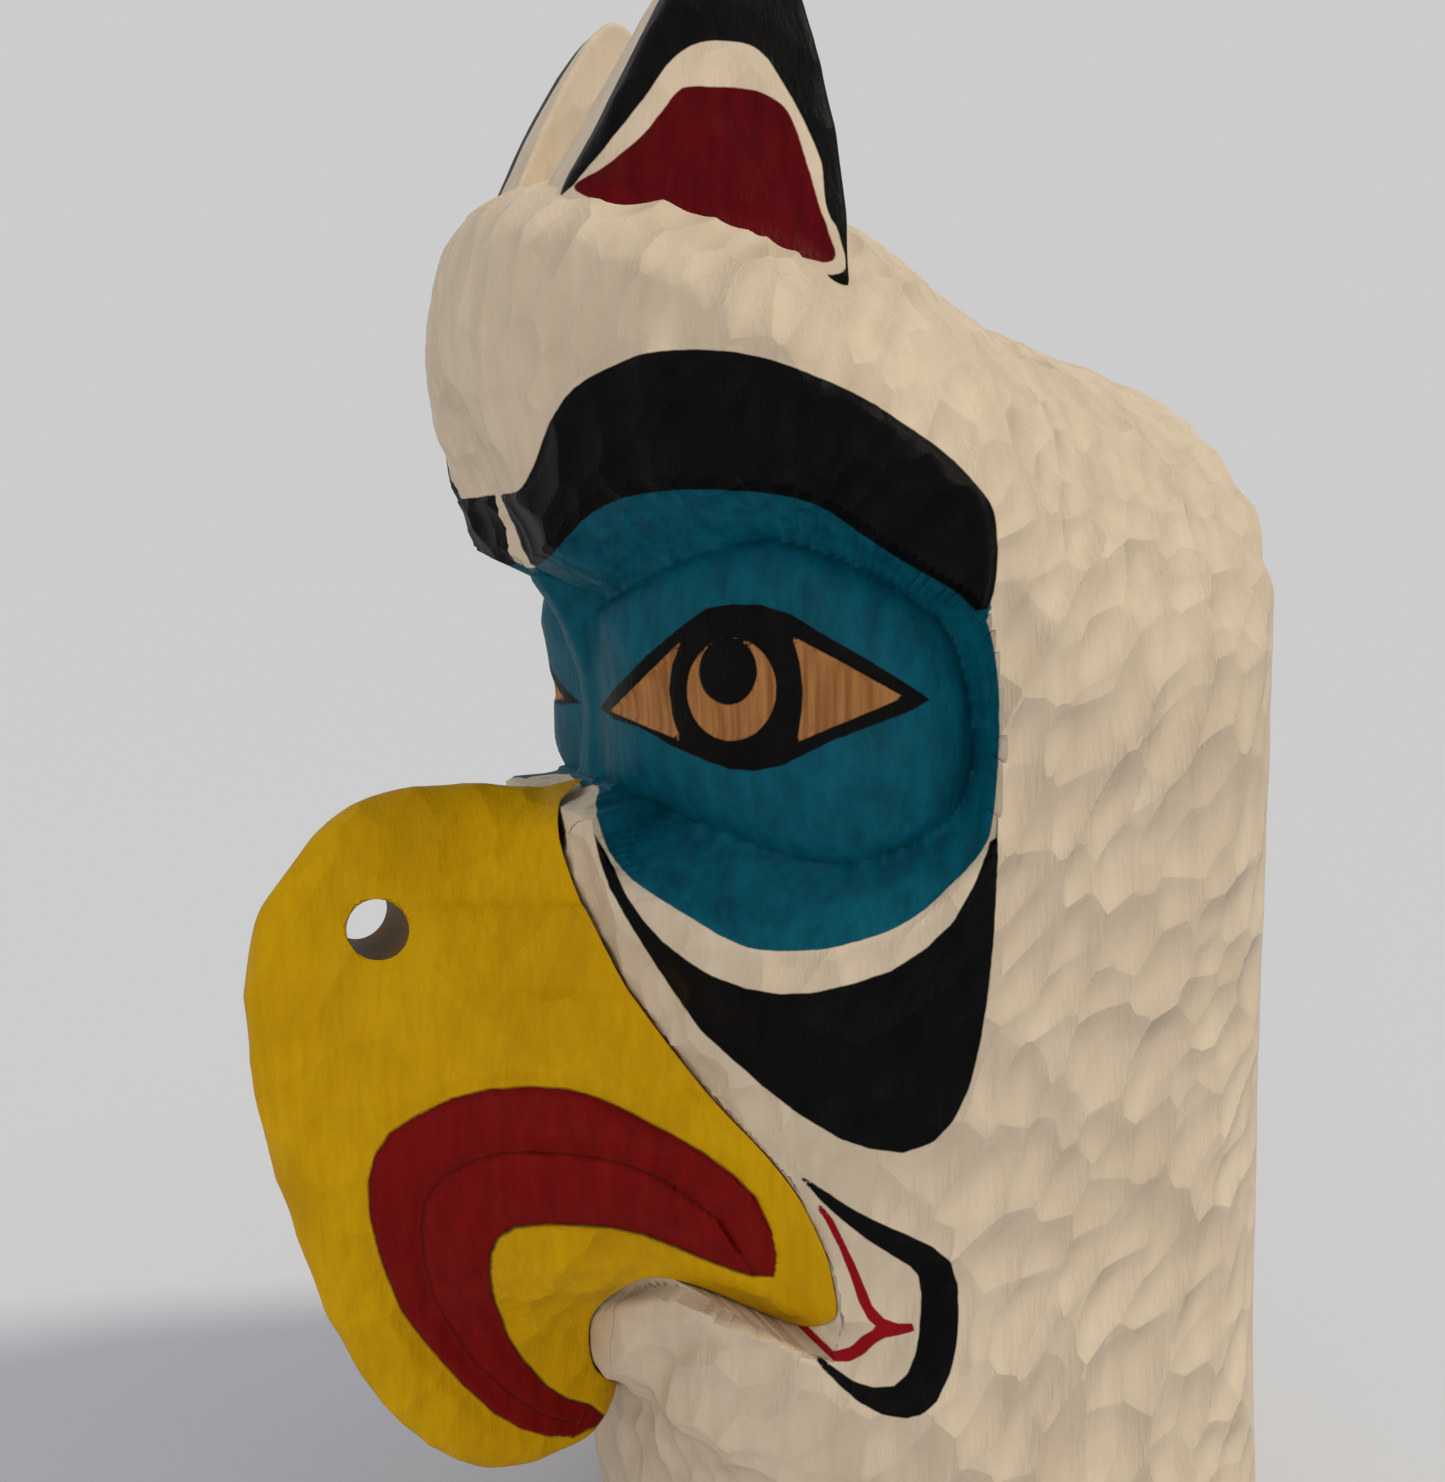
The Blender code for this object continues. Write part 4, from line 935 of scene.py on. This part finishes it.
def make_ear(name, side, finish):
    """One ear: its outer sheet follows the log round and leans in, the inner one is plain."""
    line = evenly(rounded(EAR_LINE, closed=False), EAR_SPACING)
    foot = evenly((line[-1], line[0]), EAR_SPACING)[1:-1]
    loop = np.vstack([line, foot])[::-1]
    flat, triangles = side_view(loop, inset_rings(loop, slice(None), EAR_EDGE, EAR_RINGS), EAR_SPACING)
    y, z = flat.T
    lean = EAR_FACE_HALF_WIDTH - EAR_LEAN * (z - EAR_FOOT_Z)
    outer = lean * (1 - (np.abs(y) / EAR_REACH) ** FRONT_SQUARENESS) ** (1 / FRONT_SQUARENESS)
    share = np.clip((z - EAR_FOOT_Z) / (DRAWN_HEIGHT - EAR_FOOT_Z), 0, 1)
    inner = outer - EAR_THICKNESS - (EAR_TIP_THICKNESS - EAR_THICKNESS) * share
    drop = edge_drop(inside_by(loop, y, z), EAR_EDGE)
    u, v = photo_point(np.column_stack([outer, y, z]))
    cream = inside_by(rounded(EAR_CREAM_LINE), u, v)
    red = inside_by(rounded(EAR_RED_LINE), u, v)
    outer = outer - drop - EAR_HOLLOW * ease(*HOLLOW_SLOPE, red)
    inner = inner + drop
    near, far = (outer, inner) if side > 0 else (-inner, -outer)
    ear = two_sheets(name, flat, triangles, near, far)
    unpainted = np.full(len(flat), UNPAINTED)
    for attribute, distance in (("ear_black", -cream * PIXEL), ("ear_red", red * PIXEL)):
        sheets = (distance, unpainted) if side > 0 else (unpainted, distance)
        set_values(ear, attribute, np.concatenate(sheets))
    set_values(ear, "tooled", np.full(2 * len(flat), 1.0))
    cut_over(ear, EAR_CUTS, finish)
    ear.data.shade_smooth()
    return ear


EAR_PAINT = ear_paint()
for name, side in (("left_ear", 1), ("right_ear", -1)):
    ear = make_ear(name, side, EAR_PAINT)
    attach(ear, "root")
    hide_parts("eagle_head")

# The beak
# A cedar block of its own, planted on the face: hollow flanks that turn into a rounded ridge
# and a hook, a red band that is carved in three low steps, and a nostril bored right through.
BEAK_HOLLOWING = 1.5         # above 1 the sides are hollow from the ridge to the cheek
RIDGE_ROUND = 22.0
RIDGE_HALF_THICKNESS = 17.0
NOSE_ROOT = 28.0             # half-width of the root where it meets the nose bridge
NOSE_FLARE = 4.2             # how fast it widens below that
NOSE_TOP_Z = 518.0
NOSE_ENDS_Z = 455.0          # below this height the root soon spreads to the log's own width
ROOT_SPREAD = 4.0
HOOK_SHARE = 0.30            # half-width of the hook as a share of the sides above the mouth
HOOK_CORE = 0.8              # of the ridge's half-thickness, which the hook never goes under
HOOK_TOP = 262.0
HOOK_BOTTOM = 188.0
NOSTRIL_Y = -356.0
NOSTRIL_Z = 442.0
NOSTRIL_BORE = 33.0
NOSTRIL_DISH = 1.6           # the knife has eased the rim of the bore by this much
DISH_WIDTH = 9.0
AUGER_SIDES = 64
AUGER_REACH = 200.0
SEAM_EDGE = 1.4              # rounding of the beak's edge along its joint and the mouth
BEAK_SPACING = 2.3
RIDGE_RINGS = 9
SEAM_RINGS = 2
THINNEST = 0.4
STEP_DEPTH = 3.4             # each carved step of the band goes this deep
STEP_RUN = 13.0              # over this width outside it
STEP_RISE = 2.4
STEPS_RUN_OUT = 14.0         # toward the ridge, over this width
BAND_SMOOTHED = 0.75         # how far the knife has smoothed its marks away on the band
BAND_FADE = (-2, 3)          # from this far outside the band to this far inside it
JOINT_FADE = (2, 8)          # and from the joint inwards
SAME_PLACE = 0.01            # closer than this, a point lies on the ridge
YELLOW_STROKES = (150, 150, 22)
BAND_STROKES = (110, 110, 20)
BEAK_CUTS = ((0.026, 0.022, 0.040), 0.0026, 0.03, (9.0, 6.0, 8.0))
BAND_OUTER = (
    (776, 1279), (778, 1259), (773, 1232), (758, 1199), (735, 1176), (705, 1154), (672, 1135),
    (635, 1115), (602, 1100), (569, 1090), (529, 1088), (489, 1091), (453, 1100), (416, 1118),
    (390, 1135), (376, 1156), (369, 1186), (371, 1219), (380, 1256), (390, 1285), (403, 1315),
    (429, 1349), (463, 1387), (496, 1417), (522, 1431), (549, 1439), (575, 1440), (595, 1428),
    (614, 1410),
)
BAND_INNER = (
    (592, 1408), (569, 1402), (546, 1387), (526, 1365), (509, 1339), (496, 1305), (490, 1276),
    (491, 1256), (499, 1239), (516, 1229), (546, 1226), (582, 1227), (612, 1229), (645, 1236),
    (678, 1249), (705, 1261), (735, 1272), (758, 1279),
)
BAND_GROOVE = (
    (721, 1222), (695, 1203), (662, 1179), (622, 1164), (582, 1157), (542, 1154), (506, 1154),
    (473, 1163), (443, 1179), (426, 1203), (422, 1232), (426, 1266), (436, 1302), (453, 1332),
    (476, 1365), (509, 1395), (542, 1417), (582, 1428),
)
MOUTH_SIDE = ((800, 1310), (760, 1400), (640, 1440))


def seam_half_width(z):
    """Half the width of the log where the beak's seam runs over it at a height."""
    seam = np.array(SEAM_LINE, float)
    order = np.argsort(seam[:, 1])
    y = np.interp(z, seam[order, 1], seam[order, 0])
    share = np.clip(1 - (np.abs(y) / curve(FRONT_REACH, z)) ** FRONT_SQUARENESS, 0.01, 1)
    on_log = curve(HALF_WIDTH, z) * share ** (1 / FRONT_SQUARENESS)
    at_nose = NOSE_ROOT + NOSE_FLARE * np.sqrt(np.clip(NOSE_TOP_Z - z, 0, None))
    return np.minimum(on_log, at_nose + ROOT_SPREAD * np.clip(NOSE_ENDS_Z - z, 0, None))


def beak_half_width(y, z):
    """Half the beak's width at a place of its side view."""
    to_ridge = line_distance(rounded(RIDGE_LINE, closed=False), y, z, closed=False)
    to_seam = line_distance(rounded(SEAM_LINE, closed=False), y, z, closed=False)
    share = to_ridge / (to_ridge + to_seam + 1e-6)
    wide = seam_half_width(z)
    flank = RIDGE_HALF_THICKNESS + (wide - RIDGE_HALF_THICKNESS) * share ** BEAK_HOLLOWING
    hook = HOOK_SHARE + (1 - HOOK_SHARE) * ease(HOOK_BOTTOM, HOOK_TOP, z)
    core = RIDGE_HALF_THICKNESS * HOOK_CORE
    flank = core + (flank - core) * hook
    turn = np.clip(to_ridge / RIDGE_ROUND, 0, 1)
    return flank * np.sqrt(1 - (1 - turn) ** 2)


def stepped(distance):
    """How deep the knife goes beside a carved form: a long run down to it and a short rise."""
    outside = 1 - ease(0, STEP_RUN, -distance)
    inside = 1 - ease(0, STEP_RISE, distance)
    return STEP_DEPTH * np.where(distance < 0, outside, inside)


def beak_paint():
    """Matt yellow paint with its red band, with painted shade along the carved steps, and a dark line
    along the joint that is partly dirt and partly painted shade.
    """
    material, tree, place, coat = start_paint("brushed_yellow_paint", "#CB9E02", "#BE9002",
                                              YELLOW_STROKES)
    red = streaked(tree, place, BAND_STROKES, "#6A0807", "#780D0B")
    coat = lay_over(tree, brush_edge(tree, place, "band_paint"), coat, red)
    # Painted shade in the carved steps of the band: darker close to the edge of each step.
    for step in ("band_paint", "band_core"):
        distance = add(tree, "ShaderNodeAttribute", attribute_name=step).outputs["Fac"]
        away = add(tree, "ShaderNodeMath", {0: distance}, operation="ABSOLUTE")
        step_painted_shade = add(tree, "ShaderNodeMapRange", {"Value": away.outputs[0], "From Min": 0.2,
                                                     "From Max": 1.3, "To Min": 0.5, "To Max": 0.0})
        coat = lay_over(tree, step_painted_shade.outputs[0], coat, linear("#2A0A06"))
    # A dark line along the joint: partly dirt in the joint, partly painted shade of the crevice.
    joint_darkening = brush_edge(tree, place, "joint_dirt_and_shade", 0.6, 1.2)
    coat = lay_over(tree, joint_darkening, coat, linear("#75590F"))
    close_paint(tree, place, coat, 0.5, BEAK_CUTS)
    return material


def make_beak(finish):
    """The beak's mesh: one flank over its side view, and its mirror image, not yet bored."""
    ridge = evenly(rounded(RIDGE_LINE, closed=False), BEAK_SPACING)
    mouth = evenly(rounded(MOUTH_LINE, closed=False), BEAK_SPACING)
    seam = evenly(rounded(SEAM_LINE, closed=False), BEAK_SPACING)
    loop = np.vstack([ridge, mouth[1:], seam[1:-1]])
    on_ridge = np.arange(len(loop)) < len(ridge)
    rings = inset_rings(loop, on_ridge, RIDGE_ROUND, RIDGE_RINGS)
    rings += inset_rings(loop, ~on_ridge, SEAM_EDGE, SEAM_RINGS)
    flat, triangles = side_view(loop, rings, BEAK_SPACING)
    y, z = flat.T
    half = beak_half_width(y, z)
    off_ridge = line_distance(ridge, y, z, closed=False)
    off_seam = line_distance(np.vstack([mouth, seam]), y, z, closed=False)
    u, v = photo_point(np.column_stack([half, y, z]))
    outer = inside_by(np.array(BAND_OUTER + BAND_INNER, float), u, v) * PIXEL
    core = inside_by(np.array(BAND_GROOVE + BAND_INNER, float), u, v) * PIXEL
    inner = inside_by(np.array(BAND_INNER + MOUTH_SIDE, float), u, v) * PIXEL
    cut = np.maximum(stepped(np.maximum(outer, inner)), stepped(np.maximum(core, inner)))
    cut = np.maximum(cut, stepped(inner)) * ease(0, STEPS_RUN_OUT, off_ridge)
    bore = np.hypot(y - NOSTRIL_Y, z - NOSTRIL_Z) - NOSTRIL_BORE / 2
    cut += NOSTRIL_DISH * (1 - ease(0, DISH_WIDTH, bore)) + edge_drop(off_seam, SEAM_EDGE)
    half = np.where(off_ridge < SAME_PLACE, 0.0, np.maximum(half - cut, THINNEST))
    beak = two_sheets("carved_beak", flat, triangles, half, -half)
    apart = half > 1e-6
    marks = {
        "band_paint": np.minimum(outer, -inner),
        "band_core": np.minimum(core, -inner),
        # distance from the joint, for the dark line that is partly dirt and partly painted shade
        "joint_dirt_and_shade": -off_seam,
        "tooled": (1 - BAND_SMOOTHED * ease(*BAND_FADE, outer)) * ease(*JOINT_FADE, off_seam),
    }
    for name, values in marks.items():
        set_values(beak, name, np.concatenate([values, values[apart]]))
    cut_over(beak, BEAK_CUTS, finish)
    return beak


def nostril_auger():
    """The round bar that is bored out of the beak."""
    turns = np.arange(AUGER_SIDES) / AUGER_SIDES * 2 * math.pi
    ring = np.column_stack([NOSTRIL_Y + NOSTRIL_BORE / 2 * np.cos(turns),
                            NOSTRIL_Z + NOSTRIL_BORE / 2 * np.sin(turns)])
    return prism("nostril_auger", ring, AUGER_REACH)


BEAK_PAINT = beak_paint()
beak = make_beak(BEAK_PAINT)
cut_away(beak, nostril_auger())
beak.data.shade_smooth()
beak.data.set_sharp_from_angle(angle=math.radians(50))
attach(beak, "root")
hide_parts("beak")

# The floor
# A pale plain floor of no particular make. It runs out so far, and in such a tone under the
# lamps, that it goes over into the pale room without an edge.
FLOOR_REACH = 40.0
floor_mesh = bpy.data.meshes.new("floor")
floor_mesh.from_pydata([(x * FLOOR_REACH, y * FLOOR_REACH, 0)
                        for x, y in ((-1, -1), (1, -1), (1, 1), (-1, 1))], [], [(0, 1, 2, 3)])
floor = bpy.data.objects.new("floor", floor_mesh)
bpy.context.scene.collection.objects.link(floor)
pale = bpy.data.materials.new("matt_pale_floor")
pale.use_nodes = True
pale.node_tree.nodes["Principled BSDF"].inputs["Base Color"].default_value = linear("#CED1DA")
pale.node_tree.nodes["Principled BSDF"].inputs["Roughness"].default_value = 1.0
pale.node_tree.nodes["Principled BSDF"].inputs["Specular IOR Level"].default_value = 0.0
floor_mesh.materials.append(pale)

# Light
# A far, soft lamp above the photographer's right, a weak one low in front, and a pale room.
LAMP_COLOUR = linear("#FFF4D8")[:3]
for name, kind, place, width, power in (("key_light", "SUN", (2.7, 2.9, 6.4), 0.15, 1.45),
                                        ("fill_light", "AREA", (1.9, -1.7, 0.7), 1.0, 8.0)):
    lamp = bpy.data.lights.new(name, kind)
    if kind == "SUN":
        lamp.angle = width
    else:
        lamp.size = width
    lamp.energy = power
    lamp.color = LAMP_COLOUR
    holder = bpy.data.objects.new(name, lamp)
    holder.location = place
    aim = Vector((0.0, -0.1, 0.55)) - holder.location
    holder.rotation_euler = aim.to_track_quat("-Z", "Y").to_euler()
    bpy.context.scene.collection.objects.link(holder)
world = bpy.data.worlds.new("room")
world.use_nodes = True
world.node_tree.nodes["Background"].inputs["Color"].default_value = linear("#CCCCCC")
world.node_tree.nodes["Background"].inputs["Strength"].default_value = 1.0
bpy.context.scene.world = world

# Camera
# The photograph's own: left of the face and a little above the eyes, with a long lens.
eye, right, up, back = camera_frame()
lens = bpy.data.cameras.new("camera")
lens.sensor_width = 36.0
lens.lens = CAMERA_FOCUS / PHOTO_SIZE[1] * lens.sensor_width
camera = bpy.data.objects.new("camera", lens)
camera.location = Vector(eye * METRES)
camera.rotation_euler = Vector(back).to_track_quat("Z", "Y").to_euler()
bpy.context.scene.collection.objects.link(camera)
bpy.context.scene.camera = camera
bpy.context.scene.view_settings.view_transform = "Standard"
